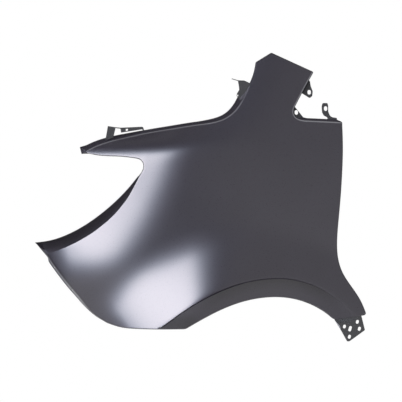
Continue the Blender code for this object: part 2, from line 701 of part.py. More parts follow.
def rounded_polygon(corners, radius):
    """A polygon with each corner replaced by a short quadratic curve."""
    corners = np.asarray(corners, float)
    points = []
    for i, corner in enumerate(corners):
        before, after = corners[i - 1] - corner, corners[(i + 1) % len(corners)] - corner
        reach_before = min(radius, HALF * HALF * np.linalg.norm(before))
        reach_after = min(radius, HALF * HALF * np.linalg.norm(after))
        start = corner + unit(before) * reach_before
        end = corner + unit(after) * reach_after
        for t in (0, HALF, 1):
            points.append((1 - t) ** 2 * start + 2 * t * (1 - t) * corner + t * t * end)
    return np.array(points)


def plate(name, shares, thickness, face_depth, grid):
    """A pressed plate cut to an outline: its inboard face at a depth that a function gives.

    A curved plate is divided by a grid, and a flat one has none.
    """
    rim = rounded_polygon(side_view(shares), TAB_CORNER)
    if cross_sum(rim) < 0:
        rim = rim[::-1]
    spots = grid_spots(rim, grid) if grid else np.empty((0, 2))
    faces = triangles(rim, spots)
    flat = np.vstack([rim, spots])
    points = np.column_stack([flat[:, 0], face_depth(*flat.T), flat[:, 1]])
    obj = mesh_object(name, points, [f[::-1] for f in faces], BRACKET_COLOUR, BRACKET_ROUGHNESS)
    thicken(obj, thickness)
    return obj


def cross_sum(rim):
    """Twice the signed area of an outline, positive when it runs anticlockwise."""
    ahead = np.roll(rim, -1, axis=0)
    return (rim[:, 0] * ahead[:, 1] - rim[:, 1] * ahead[:, 0]).sum()


def pierce(obj, name, shares, length, width, turn, depth_at):
    """A slot straight through a plate, upright at turn zero."""
    x, z = side_view(shares)
    tool = cutter(name, slot_outline(length, width), 2 * CUT_OVERRUN)
    y = float(depth_at(np.array([x]), np.array([z]))[0])
    aimed(tool, (x, y, z), (math.sin(-turn), 0, math.cos(turn)), (0, 1, 0))
    cut(obj, tool)


def make_skin():
    """The pressed skin with all its folds; returns the object and what the brackets seat on."""
    places, folds, spans = outline()
    normals = outward_normals(places)
    rim = inner_rim(places, normals, spans)
    rings = fold_rings(places, rim, fold_reaches(places, normals, folds, spans), folds)
    grid = grid_spots(rim, SKIN_GRID)
    crest_gap = np.abs(nearest_on(CREST_LINE, *grid.T))
    spots = np.vstack([crest_rows(rim), grid[crest_gap > HALF * SKIN_GRID]])
    faces = triangles(rim, spots)
    count, extra = len(rim), len(spots)
    points = np.vstack([rings[0], on_skin(spots), *rings[1:]])
    starts = [0] + [count + extra + k * count for k in range(len(rings) - 1)]
    for near, far in zip(starts, starts[1:]):
        for i in range(count):
            j = (i + 1) % count
            faces.append([near + i, near + j, far + j, far + i])
    obj = mesh_object("fender_skin", points, faces, PRIMER_COLOUR, PRIMER_ROUGHNESS)
    thicken(obj, SHEET)
    return obj, rings, spans


def along_edge(rings, spans, name, share, near, far):
    """Middle of a fold's strip at a share of an edge, with its direction along and its normal."""
    start, shares, _ = spans[name]
    at = np.interp(share, shares, np.arange(len(shares))) + start
    k = int(at)
    mix = at - k
    inner = (1 - mix) * rings[near][k] + mix * rings[near][k + 1]
    outer = (1 - mix) * rings[far][k] + mix * rings[far][k + 1]
    along = rings[near][k + 1] - rings[near][k]
    return HALF * (inner + outer), along, np.cross(along, outer - inner)


def pierce_skin(obj, rings, spans):
    for k, share in enumerate(LEDGE_SLOT_SHARES):
        tool = cutter(f"ledge_slot_{k}", slot_outline(LEDGE_SLOT_LENGTH, LEDGE_SLOT_WIDTH), 2 * CUT_OVERRUN)
        aimed(tool, *along_edge(rings, spans, "hood_line", share, -2, -1))
        cut(obj, tool)
    for k, share in enumerate(BUMPER_HOLE_SHARES):
        tool = cutter(f"bumper_hole_{k}", slot_outline(BUMPER_HOLE, BUMPER_HOLE), 2 * CUT_OVERRUN)
        aimed(tool, *along_edge(rings, spans, "bumper_line", share, -3, -2))
        cut(obj, tool)


def sill_face(x, z):
    """Inboard face of the sill bracket: flat at zero where it is bolted, lapped behind the skin above."""
    edge = side_view(FOOT_EDGE_SHARES)
    below = nearest_on(edge, x, z) - SILL_JOGGLE_START
    lap = skin_depth(x, z) + SHEET + WELD_GAP + SILL_LAP_SLACK + SILL_PLATE
    return lap * (1 - smooth_step(below / SILL_JOGGLE))


def make_sill_bracket():
    obj = plate("sill_bracket", SILL_OUTLINE_SHARES, SILL_PLATE, sill_face, TAB_GRID)
    for k, (shares, length) in enumerate(SILL_SLOTS):
        pierce(obj, f"sill_slot_{k}", shares, length, SILL_SLOT_WIDTH, SILL_SLOT_TURN, sill_face)
    return obj


def tangent_plane(shares):
    """The flat plane that follows the skin's form at the middle of an outline, and its tilt.

    The tilt is how much longer a distance square to the plane is when it is measured along Y.
    """
    x0, z0 = side_view(shares).mean(axis=0)
    xs = np.array((x0, x0 - TAB_GRID, x0 + TAB_GRID, x0, x0))
    zs = np.array((z0, z0, z0, z0 - TAB_GRID, z0 + TAB_GRID))
    y0, west, east, south, north = skin_depth(xs, zs)
    along = (east - west) / (2 * TAB_GRID)
    up = (north - south) / (2 * TAB_GRID)
    return lambda x, z: y0 + along * (x - x0) + up * (z - z0), math.hypot(1, along, up)


def seat_height(shares, rings, plane):
    """How far the folds that a tab is welded to stand up from a plane, along Y."""
    rim = rounded_polygon(side_view(shares), TAB_CORNER)
    steps = np.linspace(0, 1, SEAT_STEPS)[:, None, None, None]
    folds = rings[:-1] + steps * (rings[1:] - rings[:-1])
    folds = folds + steps[..., None] * (np.roll(folds, -1, axis=2) - folds)
    folds = folds.reshape(-1, 3)
    spots = folds[:, (0, 2)]
    low, high = rim.min(axis=0) - SEAT_MARGIN, rim.max(axis=0) + SEAT_MARGIN
    near = ((spots > low) & (spots < high)).all(axis=1)
    folds, spots = folds[near], spots[near]
    closed = np.vstack([rim, rim[:1]])
    under = inside(rim, spots) | (np.abs(nearest_on(closed, *spots.T)) < SEAT_MARGIN)
    return (folds[under, 1] - plane(*spots[under].T)).max()


def make_tab(name, shares, rings, hole_shares=None):
    plane, tilt = tangent_plane(shares)
    seat = seat_height(shares, rings, plane) + tilt * (HALF * SHEET + WELD_GAP + TAB_PLATE)

    def face(x, z):
        return plane(x, z) + seat

    obj = plate(name, shares, TAB_PLATE, face, None)
    if hole_shares:
        pierce(obj, name + "_hole", hole_shares, TAB_HOLE_HEIGHT, TAB_HOLE_WIDTH, 0, face)
    return obj, face


def make_cowl_bracket(rings):
    """An upright web behind the horn's foot, with a level shelf folded inboard along its top."""
    obj, face = make_tab("cowl_bracket", COWL_WEB_SHARES, rings)
    front, rear = (across(share) for share in COWL_SHELF_ENDS_SHARES)
    top = upward(COWL_SHELF_SHARE)
    middle = HALF * (front + rear)
    outer = float(face(np.array((front, rear)), np.array((top, top))).min()) - TAB_PLATE
    half = HALF * (rear - front)
    outline_points = ((-half, 0), (half, 0), (half, COWL_SHELF_DEPTH), (-half, COWL_SHELF_DEPTH))
    shelf = cutter("cowl_shelf", outline_points, TAB_PLATE)
    aimed(shelf, (middle, outer, top - HALF * TAB_PLATE), (1, 0, 0), (0, 0, 1))
    join = obj.modifiers.new("shelf", "BOOLEAN")
    join.operation = "UNION"
    join.solver = "EXACT"
    join.object = shelf


def folded_profile(corners, radius):
    """An open profile with its inner corners rounded."""
    corners = np.asarray(corners, float)
    points = [corners[0]]
    for before, corner, after in zip(corners, corners[1:], corners[2:]):
        start = corner + unit(before - corner) * radius
        end = corner + unit(after - corner) * radius
        for t in (0, HALF, 1):
            points.append((1 - t) ** 2 * start + 2 * t * (1 - t) * corner + t * t * end)
    points.append(corners[-1])
    return np.array(points)


def make_rail_bracket(rings, spans):
    """A channel folded from one plate, whose foot follows the slope of the hood ledge."""
    start, shares, _ = spans["hood_line"]
    ledge = rings[-2][start:start + len(shares)]
    xs = np.linspace(across(RAIL_ENDS_SHARES[0]), across(RAIL_ENDS_SHARES[1]), RAIL_STATIONS)
    top = upward(RAIL_TOP_SHARE)
    sections = []
    for x in xs:
        y = np.interp(x, ledge[:, 0], ledge[:, 1]) + RAIL_FOOT_SETBACK
        z = np.interp(x, ledge[:, 0], ledge[:, 2]) + WELD_GAP
        corners = ((y + RAIL_FOOT_DEPTH, z), (y, z), (y, top), (y + RAIL_TOP_DEPTH, top))
        sections.append([(x, *p) for p in folded_profile(corners, RAIL_BEND)])
    points = np.array(sections)
    rows, columns = points.shape[:2]
    faces = [
        [r * columns + c, (r + 1) * columns + c, (r + 1) * columns + c + 1, r * columns + c + 1]
        for r in range(rows - 1)
        for c in range(columns - 1)
    ]
    obj = mesh_object("rail_bracket", points.reshape(-1, 3), faces, BRACKET_COLOUR, BRACKET_ROUGHNESS)
    thicken(obj, RAIL_PLATE)
    cut_rail_bracket(obj, points, top)
    return obj


def cut_rail_bracket(obj, points, top):
    """The window between the two legs, the hole in the rear leg and the slot in the top."""
    front, rear = (across(share) for share in RAIL_WINDOW_SHARES)
    middle = points[len(points) // 3, :, 1].min()
    height = points[:, :, 2].max() - points[:, :, 2].min()
    window = ((front, -height), (rear, -height), (rear, -2 * RAIL_BEND), (front, -2 * RAIL_BEND))
    tool = cutter("rail_window", window, 2 * (RAIL_FOOT_DEPTH + CUT_OVERRUN))
    aimed(tool, (0, middle, top), (1, 0, 0), (0, -1, 0))
    cut(obj, tool)
    x, z = side_view(RAIL_HOLE_SHARES)
    tool = cutter("rail_hole", slot_outline(RAIL_HOLE_WIDTH, RAIL_HOLE_HEIGHT), 2 * CUT_OVERRUN)
    aimed(tool, (x, middle, z), (1, 0, 0), (0, 1, 0))
    cut(obj, tool)
    tool = cutter("rail_slot", slot_outline(RAIL_SLOT_LENGTH, RAIL_SLOT_WIDTH), 2 * CUT_OVERRUN)
    aimed(tool, (across(RAIL_SLOT_SHARE), middle + HALF * RAIL_TOP_DEPTH, top), (1, 0, 0), (0, 0, 1))
    cut(obj, tool)


def clear_scene():
    for obj in list(bpy.data.objects):
        bpy.data.objects.remove(obj, do_unlink=True)
    for name in (OBJECT_NAME, "cutters"):
        bpy.context.scene.collection.children.link(bpy.data.collections.new(name))


def main():
    clear_scene()
    skin, rings, spans = make_skin()
    pierce_skin(skin, rings, spans)
    make_sill_bracket()
    make_cowl_bracket(rings)
    make_tab("pillar_tab", PILLAR_TAB_SHARES, rings, PILLAR_HOLE_SHARES)
    make_tab("notch_gusset", GUSSET_SHARES, rings, GUSSET_HOLE_SHARES)
    make_tab("window_tab", WINDOW_TAB_SHARES, rings, WINDOW_TAB_HOLE_SHARES)
    make_rail_bracket(rings, spans)


main()
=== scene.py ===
"""Looks of the left front fender of a large van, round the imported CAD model.

Metres, in the frame of the CAD: X runs to the rear of the vehicle, Y inboard, Z up. The pressed skin is
worked out again from the same form as the CAD's, with finer steps and rounder folds. The rail bracket and
the cowl bracket are folded again as thin sheet, and the other brackets keep their CAD solids. Everything
is coated in black dip primer.
"""

import math
from collections import namedtuple

import bpy
import numpy as np
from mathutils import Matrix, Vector
from mathutils.geometry import delaunay_2d_cdt


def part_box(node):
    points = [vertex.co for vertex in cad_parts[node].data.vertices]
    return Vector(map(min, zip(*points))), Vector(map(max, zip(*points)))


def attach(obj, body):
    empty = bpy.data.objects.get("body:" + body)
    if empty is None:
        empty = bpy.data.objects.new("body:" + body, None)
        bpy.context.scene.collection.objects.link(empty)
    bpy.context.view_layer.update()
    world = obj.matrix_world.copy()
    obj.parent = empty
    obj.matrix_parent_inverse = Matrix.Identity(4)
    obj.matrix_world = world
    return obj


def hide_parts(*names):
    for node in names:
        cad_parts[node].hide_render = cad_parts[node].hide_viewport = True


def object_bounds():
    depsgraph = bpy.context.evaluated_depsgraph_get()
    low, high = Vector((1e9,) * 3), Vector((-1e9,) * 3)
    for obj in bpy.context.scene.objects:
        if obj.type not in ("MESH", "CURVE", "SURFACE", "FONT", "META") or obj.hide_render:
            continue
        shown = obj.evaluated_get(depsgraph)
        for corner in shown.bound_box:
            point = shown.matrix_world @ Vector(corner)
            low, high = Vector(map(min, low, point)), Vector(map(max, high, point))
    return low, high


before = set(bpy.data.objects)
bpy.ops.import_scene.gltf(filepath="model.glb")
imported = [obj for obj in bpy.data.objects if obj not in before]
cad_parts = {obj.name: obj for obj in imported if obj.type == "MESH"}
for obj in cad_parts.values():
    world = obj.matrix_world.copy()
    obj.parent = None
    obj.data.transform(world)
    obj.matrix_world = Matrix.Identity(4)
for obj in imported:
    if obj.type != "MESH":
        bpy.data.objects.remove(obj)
CAD_BOX = [list(corner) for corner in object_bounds()]

MM = 0.001
PERCENT = 0.01
HALF = 0.5
HAIR = 0.01 * MM

# Sizes of the pressed skin, as in the CAD. The origin is on the sill bracket's bolted face, between its
# slots, at SILL_BOLT_SHARES in hundredths of the skin's length and height.
SKIN_LENGTH = 1195 * MM
SKIN_HEIGHT = 991 * MM
SHEET = 0.8 * MM
WELD_GAP = 0.3 * MM
SILL_PLATE = 2.0 * MM
SILL_BOLT_SHARES = (96.6, -1.9)

# Side view of the skin, in hundredths of its length from the front tip and of its height from the
# bottom edge, clockwise from the tip above the headlight.
HOOD_LINE_SHARES = (
    (14.6, 64.6), (18.1, 66.7), (22.1, 68.4), (28.0, 70.1), (33.0, 71.4), (40.6, 72.9), (48.8, 74.4),
    (53.2, 75.1), (57.2, 76.5), (60.0, 78.8), (62.4, 82.4), (64.0, 86.0), (65.3, 89.8),
)
HORN_FRONT_SHARES = ((65.3, 89.8), (66.4, 93.2), (67.2, 97.7))
HORN_PEAK_SHARES = ((67.2, 97.7), (71.9, 101.2))
HORN_TOP_SHARES = ((71.9, 101.2), (84.5, 94.0))
HORN_BACK_SHARES = ((84.5, 94.0), (81.1, 86.6), (78.7, 81.1))
NOTCH_TURN_SHARES = ((78.7, 81.1), (78.3, 79.3), (78.8, 77.4), (80.3, 76.2), (82.1, 75.8))
NOTCH_SILL_SHARES = ((82.1, 75.8), (93.0, 75.2))
DOOR_EDGE_SHARES = (
    (93.0, 75.2), (93.1, 66.2), (92.8, 56.0), (92.0, 43.2), (91.4, 35.2), (91.4, 27.0), (92.6, 21.2),
    (95.8, 14.9), (98.4, 10.0), (100.0, 5.4),
)
FOOT_EDGE_SHARES = ((100.0, 5.4), (90.5, 3.8))
WHEEL_ARCH_SHARES = (
    (90.5, 3.8), (86.6, 7.1), (81.1, 10.2), (74.7, 11.7), (68.1, 11.4), (62.0, 9.8), (56.0, 7.0),
    (45.5, 0.0),
)
BOTTOM_EDGE_SHARES = ((45.5, 0.0), (37.9, -0.2), (30.5, -0.2), (25.8, 0.2), (21.2, 1.8))
BUMPER_LINE_SHARES = ((21.2, 1.8), (17.4, 4.9), (13.7, 10.0), (8.8, 17.1), (2.8, 26.7))
HEADLIGHT_WALL_SHARES = (
    (2.8, 26.7), (6.4, 28.2), (10.7, 30.4), (13.9, 32.4), (16.9, 34.6), (20.4, 37.7), (24.0, 41.6),
    (26.3, 44.8), (28.3, 48.1), (30.1, 52.0), (31.8, 56.0),
)
HEADLIGHT_TIP_SHARES = ((31.8, 56.0), (32.8, 58.2), (32.9, 60.0), (32.1, 61.6), (30.2, 62.4))
BEAK_EDGE_SHARES = ((30.2, 62.4), (26.2, 63.0), (19.1, 63.5), (14.6, 64.6))
LIGHT_RIM_SHARES = (
    (-1.0, 30.9), (3.4, 31.7), (9.3, 34.1), (16.2, 38.7), (20.2, 42.2), (24.2, 46.3), (28.2, 51.2),
    (31.5, 56.1),
)
NOSE_TIP_SHARES = ((0.5, (-1.0, 30.9)),)
BEAK_TIP_SHARES = ((0.5, (13.7, 64.0)), (0.75, (13.2, 66.4)))
FLARE_CREST_SHARES = (
    (31.9, -5.1), (38.0, 0.0), (43.2, 4.7), (48.8, 9.2), (54.3, 12.8), (59.9, 15.6), (65.4, 17.4),
    (71.2, 18.3), (76.4, 18.2), (81.6, 16.9), (85.8, 15.0), (90.6, 11.5), (95.3, 6.5), (100.0, 0.3),
)
ROLL_LINE_SHARES = (
    (-4.5, 22.0), (-0.8, 24.4), (3.6, 27.6), (8.9, 29.2), (12.8, 31.6), (17.1, 34.6), (20.6, 37.7),
    (24.1, 41.6), (26.4, 44.9), (28.8, 49.4), (31.1, 54.5), (32.8, 59.6), (34.0, 65.0), (34.9, 72.3),
    (35.5, 81.4), (35.8, 90.4),
)

# Form of the skin. Slopes are depth inboard for each metre along the side view, and single shares are
# hundredths of the skin's length or height, apart from the two even shares, which are parts of a reach.
CROWN_RADIUS = 3570 * MM
CROWN_HEIGHT_SHARE = 23.2
WRAP_START_SHARE = 86.1
WRAP_LEAN = 0.67
WRAP_RADIUS = 3600 * MM
WRAP_SOFTNESS = 60 * MM
NOSE_DEPTH = 16 * MM
NOSE_REACH = 720 * MM
NOSE_POWER = 6
NOSE_TURN_SHARE = 10.5
NOSE_TURN_RADIUS = 210 * MM
NOSE_TURN_SOFTNESS = 12 * MM
ROLL_SLOPE = 0.27
ROLL_BEAK_SLOPE = 0.31
ROLL_REACH = 200 * MM
ROLL_EVEN_SHARE = 0.10
SHOULDER_HEIGHT_SHARE = 66.5
SHOULDER_SLOPE = 1.8
SHOULDER_REAR_SLOPE = 0.30
SHOULDER_SOFTNESS = 36 * MM
SHOULDER_FADE_SHARE = 43.4
SHOULDER_FADE = 90 * MM
FLARE_SLOPE = 0.51
FLARE_REAR_SLOPE = 0.20
FLARE_SLOPE_SHARES = (44.5, 81.0)
FLARE_REACH = 265 * MM
FLARE_REAR_REACH = 170 * MM
FLARE_REACH_SHARES = (47.0, 89.0)
FLARE_EVEN_SHARE = 0.44
FLARE_NOSE_AMOUNT = 0.40
FLARE_NOSE_SHARE = 34.9
FLARE_NOSE_FADE = 120 * MM
BAND_SLOPE = 0.10
CREST_SOFTNESS = 7 * MM
SEAM_DEPTH = 3.6 * MM
SEAM_DEPTH_SHARES = ((0, 1), (57, 1), (63, 0.6), (100, 0.6))
SEAM_HALF_WIDTH = 2.2 * MM
SEAM_STEP = 2.5 * MM
SEAM_END_SHARE = 92.0
SEAM_END_FADE = 60 * MM

# How pale the primer is painted at shares of an edge: 1 is a full painted highlight along a fold, and -1 is
# painted shade, black.
HOOD_PALENESS = ((0, 0.5), (0.88, 0.5), (0.91, 0.1), (1, 0.3))
NOTCH_PALENESS = ((0, 0.7), (1, 0.7))
BUMPER_PALENESS = ((0, 1), (1, 1))
LIGHT_PALENESS = ((0, -0.9), (1, -0.9))
NO_PALENESS = ((0, 0), (1, 0))

# Painted shade, darker below the flare's crest behind, and at the front end of its band.
# Each table pairs hundredths of the skin's length or height with an amount. The amount is more than 1, so
# that the black strip of painted shade under the crest has some width.
PAINTED_SHADE_AMOUNT = 1.1
PAINTED_SHADE_REACH = 45 * MM
PAINTED_SHADE_REAR_SHARES = ((0, 0), (50, 0), (56, 1), (86, 1), (93, 0), (100, 0))
PAINTED_SHADE_FRONT_SHARES = ((0, 1), (47, 1), (51, 0), (100, 0))
PAINTED_SHADE_LOW_SHARES = ((0, 1), (3, 0.9), (6, 0), (100, 0))

# Folds along the outline: the rise shows in the side view, and the depth runs inboard. A table of shares
# pairs a share of the edge with a share of the size above it. A lip without a ledge of its own goes on in
# the direction of its leg.
BEND = 4 * MM
HEM_BEND = 1.5 * MM
BUMPER_BEND = 3 * MM
LIP_SHARE = 0.25
HOOD_RISE = 26 * MM
HOOD_RISE_SHARES = (
    (0, 0.75), (0.15, 0.62), (0.35, 0.42), (0.62, 0.42), (0.80, 0.62), (0.92, 0.80), (1, 0.15),
)
HOOD_WALL_DEPTH = 22 * MM
HOOD_WALL_DEPTH_SHARES = ((0, 2.0), (0.15, 1.5), (0.35, 1.1), (0.7, 1.2), (0.9, 1.9), (1, 1))
HOOD_LEDGE = 20 * MM
HOOD_LEDGE_SHARES = ((0, 0.4), (0.12, 1), (0.88, 1), (1, 0.3))
HORN_RISE = 1.5 * MM
WINDOW_RISE = 7 * MM
HORN_BACK_RISE_SHARES = ((0, 0.2), (1, 0.2))
TURN_RISE_SHARES = ((0, 0.2), (0.5, 0.3), (0.8, 1), (1, 1))
SILL_RISE_SHARES = ((0, 1), (0.85, 1), (1, 0.3))
WINDOW_DEPTH = 12 * MM
DOOR_RISE = 1.5 * MM
DOOR_DEPTH = 12 * MM
FOOT_RISE = 1.5 * MM
FOOT_SLOPE = 0.06
ARCH_RISE = 2 * MM
ARCH_DEPTH = 16 * MM
ARCH_DEPTH_SHARES = ((0, 0.02), (0.03, 0.1), (0.1, 1), (1, 1))
BOTTOM_RISE = 1.5 * MM
BOTTOM_DEPTH = 10 * MM
BUMPER_RISE = 26 * MM
BUMPER_RISE_SHARES = ((0, 0.05), (0.2, 0.15), (0.35, 0.28), (0.55, 0.34), (0.92, 0.34), (1, 0.04))
BUMPER_DEPTH = 20 * MM
LIGHT_RISE = 35 * MM
LIGHT_RISE_SHARES = (
    (0, 1), (0.2, 0.96), (0.4, 0.9), (0.6, 0.76), (0.75, 0.62), (0.85, 0.46), (0.95, 0.18), (1, 0.04),
)
LIGHT_DEPTH = 80 * MM
LIGHT_DEPTH_SHARES = (
    (0, 0.9), (0.1, 1), (0.3, 0.97), (0.6, 0.76), (0.75, 0.58), (0.85, 0.4), (0.95, 0.25), (1, 0.19),
)
BEAK_RISE = 1.5 * MM
BEAK_DEPTH = 15 * MM

# How finely the sheet is divided here.
SKIN_GRID = 7 * MM
EDGE_STEP = 5 * MM
CORNER_CUT = 7 * MM
BEAK_CORNER_CUT = 17 * MM
HORN_CORNER_CUT = 3 * MM
LIGHT_CORNER_CUT = 11 * MM
CORNER_STEPS = 7
BEND_STEPS = 6
FIELD_STEPS = 160
SEAM_ROWS = (-4, -2, -1, 0, 1, 2, 4)
GRID_ANGLE = math.radians(60)

# What delaunay_2d_cdt triangulates: the faces that it is given, or what closed edges enclose, less holes.
TRIANGULATE_FACES = 1
TRIANGULATE_LESS_HOLES = 2

# Angles past which an edge of a mesh is shaded sharp.
SKIN_SHARP_ANGLE = math.radians(40)
SHARP_ANGLE = math.radians(30)

# A stretch of the outline: its points, what its corners cut off, and its fold. It holds a table of painted
# highlight and shade for the bend and one for the leg, and its rise, depth and ledge are functions of the
# share along it.
Edge = namedtuple("Edge", "name shares cut bend pale rise depth ledge")

# Columns in the table of fold sizes, which has a row for each place of the outline.
RISE, DEPTH, LIP_RISE, LIP_DEPTH, BEND_SIZE, BEND_PALENESS, LEG_PALENESS = range(7)


def side_view(shares):
    """Places in the side view, in metres from the origin, for places given in hundredths."""
    pairs = np.array(shares, float) * PERCENT
    return (pairs - np.array(SILL_BOLT_SHARES) * PERCENT) * np.array((SKIN_LENGTH, SKIN_HEIGHT))


def across(share):
    return (share - SILL_BOLT_SHARES[0]) * PERCENT * SKIN_LENGTH


def upward(share):
    return (share - SILL_BOLT_SHARES[1]) * PERCENT * SKIN_HEIGHT


def unit(vectors):
    return vectors / np.linalg.norm(vectors, axis=-1)[..., None]


def smooth_step(value):
    """3v^2 - 2v^3 of a value held between nothing and one."""
    value = np.clip(value, 0, 1)
    return value * value * (3 - 2 * value)


def soft_ramp(value, softness):
    """Half of v + sqrt(v^2 + s^2): nothing below zero and the value above it, turned softly."""
    return HALF * (value + np.sqrt(value * value + softness * softness))


def natural_spline(points, count):
    """Even steps along the natural cubic spline through the points, measured by chord length."""
    points = np.asarray(points, float)
    knots = np.r_[0, np.cumsum(np.hypot(*np.diff(points, axis=0).T))]
    gaps = np.diff(knots)
    size = len(points)
    system = np.eye(size)
    right = np.zeros((size, 2))
    rises = np.diff(points, axis=0) / gaps[:, None]
    for i in range(1, size - 1):
        system[i, i - 1:i + 2] = gaps[i - 1], 2 * (gaps[i - 1] + gaps[i]), gaps[i]
        right[i] = 6 * (rises[i] - rises[i - 1])
    bends = np.linalg.solve(system, right)
    at = np.linspace(0, knots[-1], count)
    k = np.clip(np.searchsorted(knots, at, side="right") - 1, 0, size - 2)
    before = (at - knots[k])[:, None]
    after = (knots[k + 1] - at)[:, None]
    gap = gaps[k][:, None]
    cubic = (bends[k] * after**3 + bends[k + 1] * before**3) / (6 * gap)
    start = (points[k] / gap - bends[k] * gap / 6) * after
    end = (points[k + 1] / gap - bends[k + 1] * gap / 6) * before
    return cubic + start + end


def nearest_on(line, x, z):
    """Distance from each place to a polyline, positive on the left of its direction."""
    best = np.full(len(x), np.inf)
    side = np.ones(len(x))
    for start, step in zip(line, np.diff(line, axis=0)):
        offset = np.column_stack([x, z]) - start
        along = np.clip(offset @ step / (step @ step), 0, 1)
        gap = np.linalg.norm(offset - along[:, None] * step, axis=1)
        turn = step[0] * offset[:, 1] - step[1] * offset[:, 0]
        side = np.where(gap < best, np.where(turn < 0, -1, 1), side)
        best = np.minimum(gap, best)
    return best * side


def eased_rise(distance, reach, slope, even_share):
    """Height left to climb at a distance from a crest: an even slope, then an easing quartic."""
    u = np.clip(distance / reach, 0, 1)
    v = np.clip((u - even_share) / (1 - even_share), 0, 1)
    even = np.maximum(even_share - u, 0)
    eased = (1 - even_share) * (HALF - v + v**3 - HALF * v**4)
    return slope * reach * (even + eased)


ROLL_LINE = natural_spline(side_view(ROLL_LINE_SHARES), FIELD_STEPS)
CREST_LINE = natural_spline(side_view(FLARE_CREST_SHARES), FIELD_STEPS)


def amount_at(place, at, pairs):
    """An amount that runs in straight lines between pairs of a place in hundredths and its amount."""
    return np.interp(at, [place(share) for share, _ in pairs], [amount for _, amount in pairs])


def fade(x, middle, reach):
    """Logistic step in X: 1 far behind the middle, 0 far in front of it."""
    return 1 / (1 + np.exp((middle - x) / reach))


def forward(x, shares):
    """1 in front of the first share of the length, 0 behind the second, smooth between."""
    front, rear = across(shares[0]), across(shares[1])
    return smooth_step((rear - x) / (rear - front))


def crown(z):
    """A barrel: the square of the height over its widest line, by twice the radius."""
    return (z - upward(CROWN_HEIGHT_SHARE)) ** 2 / (2 * CROWN_RADIUS)


def wrap(x, z):
    """Curving in towards the front: a soft parabola in X, its sixth power, and a turn at the nose."""
    start = across(WRAP_START_SHARE) - WRAP_LEAN * (z - upward(CROWN_HEIGHT_SHARE))
    ahead = soft_ramp(start - x, WRAP_SOFTNESS)
    turn = soft_ramp(across(NOSE_TURN_SHARE) - x, NOSE_TURN_SOFTNESS)
    bow = ahead**2 / (2 * WRAP_RADIUS) + turn**2 / (2 * NOSE_TURN_RADIUS)
    return bow + NOSE_DEPTH * (ahead / NOSE_REACH) ** NOSE_POWER


def roll(x, z):
    """Rolling in towards the headlight line, then an even slope in front of that line."""
    gap = -nearest_on(ROLL_LINE, x, z)
    behind = eased_rise(np.maximum(gap, 0), ROLL_REACH, ROLL_SLOPE, ROLL_EVEN_SHARE)
    return behind + ROLL_BEAK_SLOPE * np.maximum(-gap, 0)


def shoulder(x, z):
    """A soft ramp in Z above the shoulder, steep in front and gentle behind."""
    rear = fade(x, across(SHOULDER_FADE_SHARE), SHOULDER_FADE)
    slope = SHOULDER_SLOPE + (SHOULDER_REAR_SLOPE - SHOULDER_SLOPE) * rear
    return slope * soft_ramp(z - upward(SHOULDER_HEIGHT_SHARE), SHOULDER_SOFTNESS)


def flare(x, z):
    """Eased rise to the crest round the wheel arch, with an even slope back from crest to edge.

    A narrow seam runs along the crest: a V whose depth falls evenly from its middle to its lips.
    """
    gap = nearest_on(CREST_LINE, x, z)
    slope = FLARE_REAR_SLOPE + (FLARE_SLOPE - FLARE_REAR_SLOPE) * forward(x, FLARE_SLOPE_SHARES)
    reach = FLARE_REAR_REACH + (FLARE_REACH - FLARE_REAR_REACH) * forward(x, FLARE_REACH_SHARES)
    rear = fade(x, across(FLARE_NOSE_SHARE), FLARE_NOSE_FADE)
    amount = FLARE_NOSE_AMOUNT + (1 - FLARE_NOSE_AMOUNT) * rear
    climb = np.hypot(np.maximum(gap, 0), CREST_SOFTNESS) - CREST_SOFTNESS
    outside = amount * eased_rise(climb, reach, slope, FLARE_EVEN_SHARE)
    seam = SEAM_DEPTH * amount_at(across, x, SEAM_DEPTH_SHARES)
    seam = seam * fade(x, across(SEAM_END_SHARE), -SEAM_END_FADE)
    seam = seam * np.maximum(1 - np.abs(gap) / SEAM_HALF_WIDTH, 0)
    return outside - BAND_SLOPE * np.maximum(-gap, 0) - seam


def raw_depth(x, z):
    """Crown, wrap, roll and shoulder, less the flare."""
    return crown(z) + wrap(x, z) + roll(x, z) + shoulder(x, z) - flare(x, z)


FOOT_MIDDLE = side_view(FOOT_EDGE_SHARES).mean(axis=0)
SKIN_OFFSET = -raw_depth(FOOT_MIDDLE[:1], FOOT_MIDDLE[1:])[0] - SHEET - WELD_GAP - SILL_PLATE


def skin_depth(x, z):
    """Y of the skin's outside face: the form, moved so that the sill bracket's bolted face is at 0."""
    return raw_depth(x, z) + SKIN_OFFSET


def shared(pairs, size):
    """A size that varies along an edge, as straight lines between shares of it."""
    at, shares = np.array(pairs, float).T
    return lambda along: size * np.interp(along, at, shares)


def steady(size):
    return lambda along: np.full(np.shape(along), size)


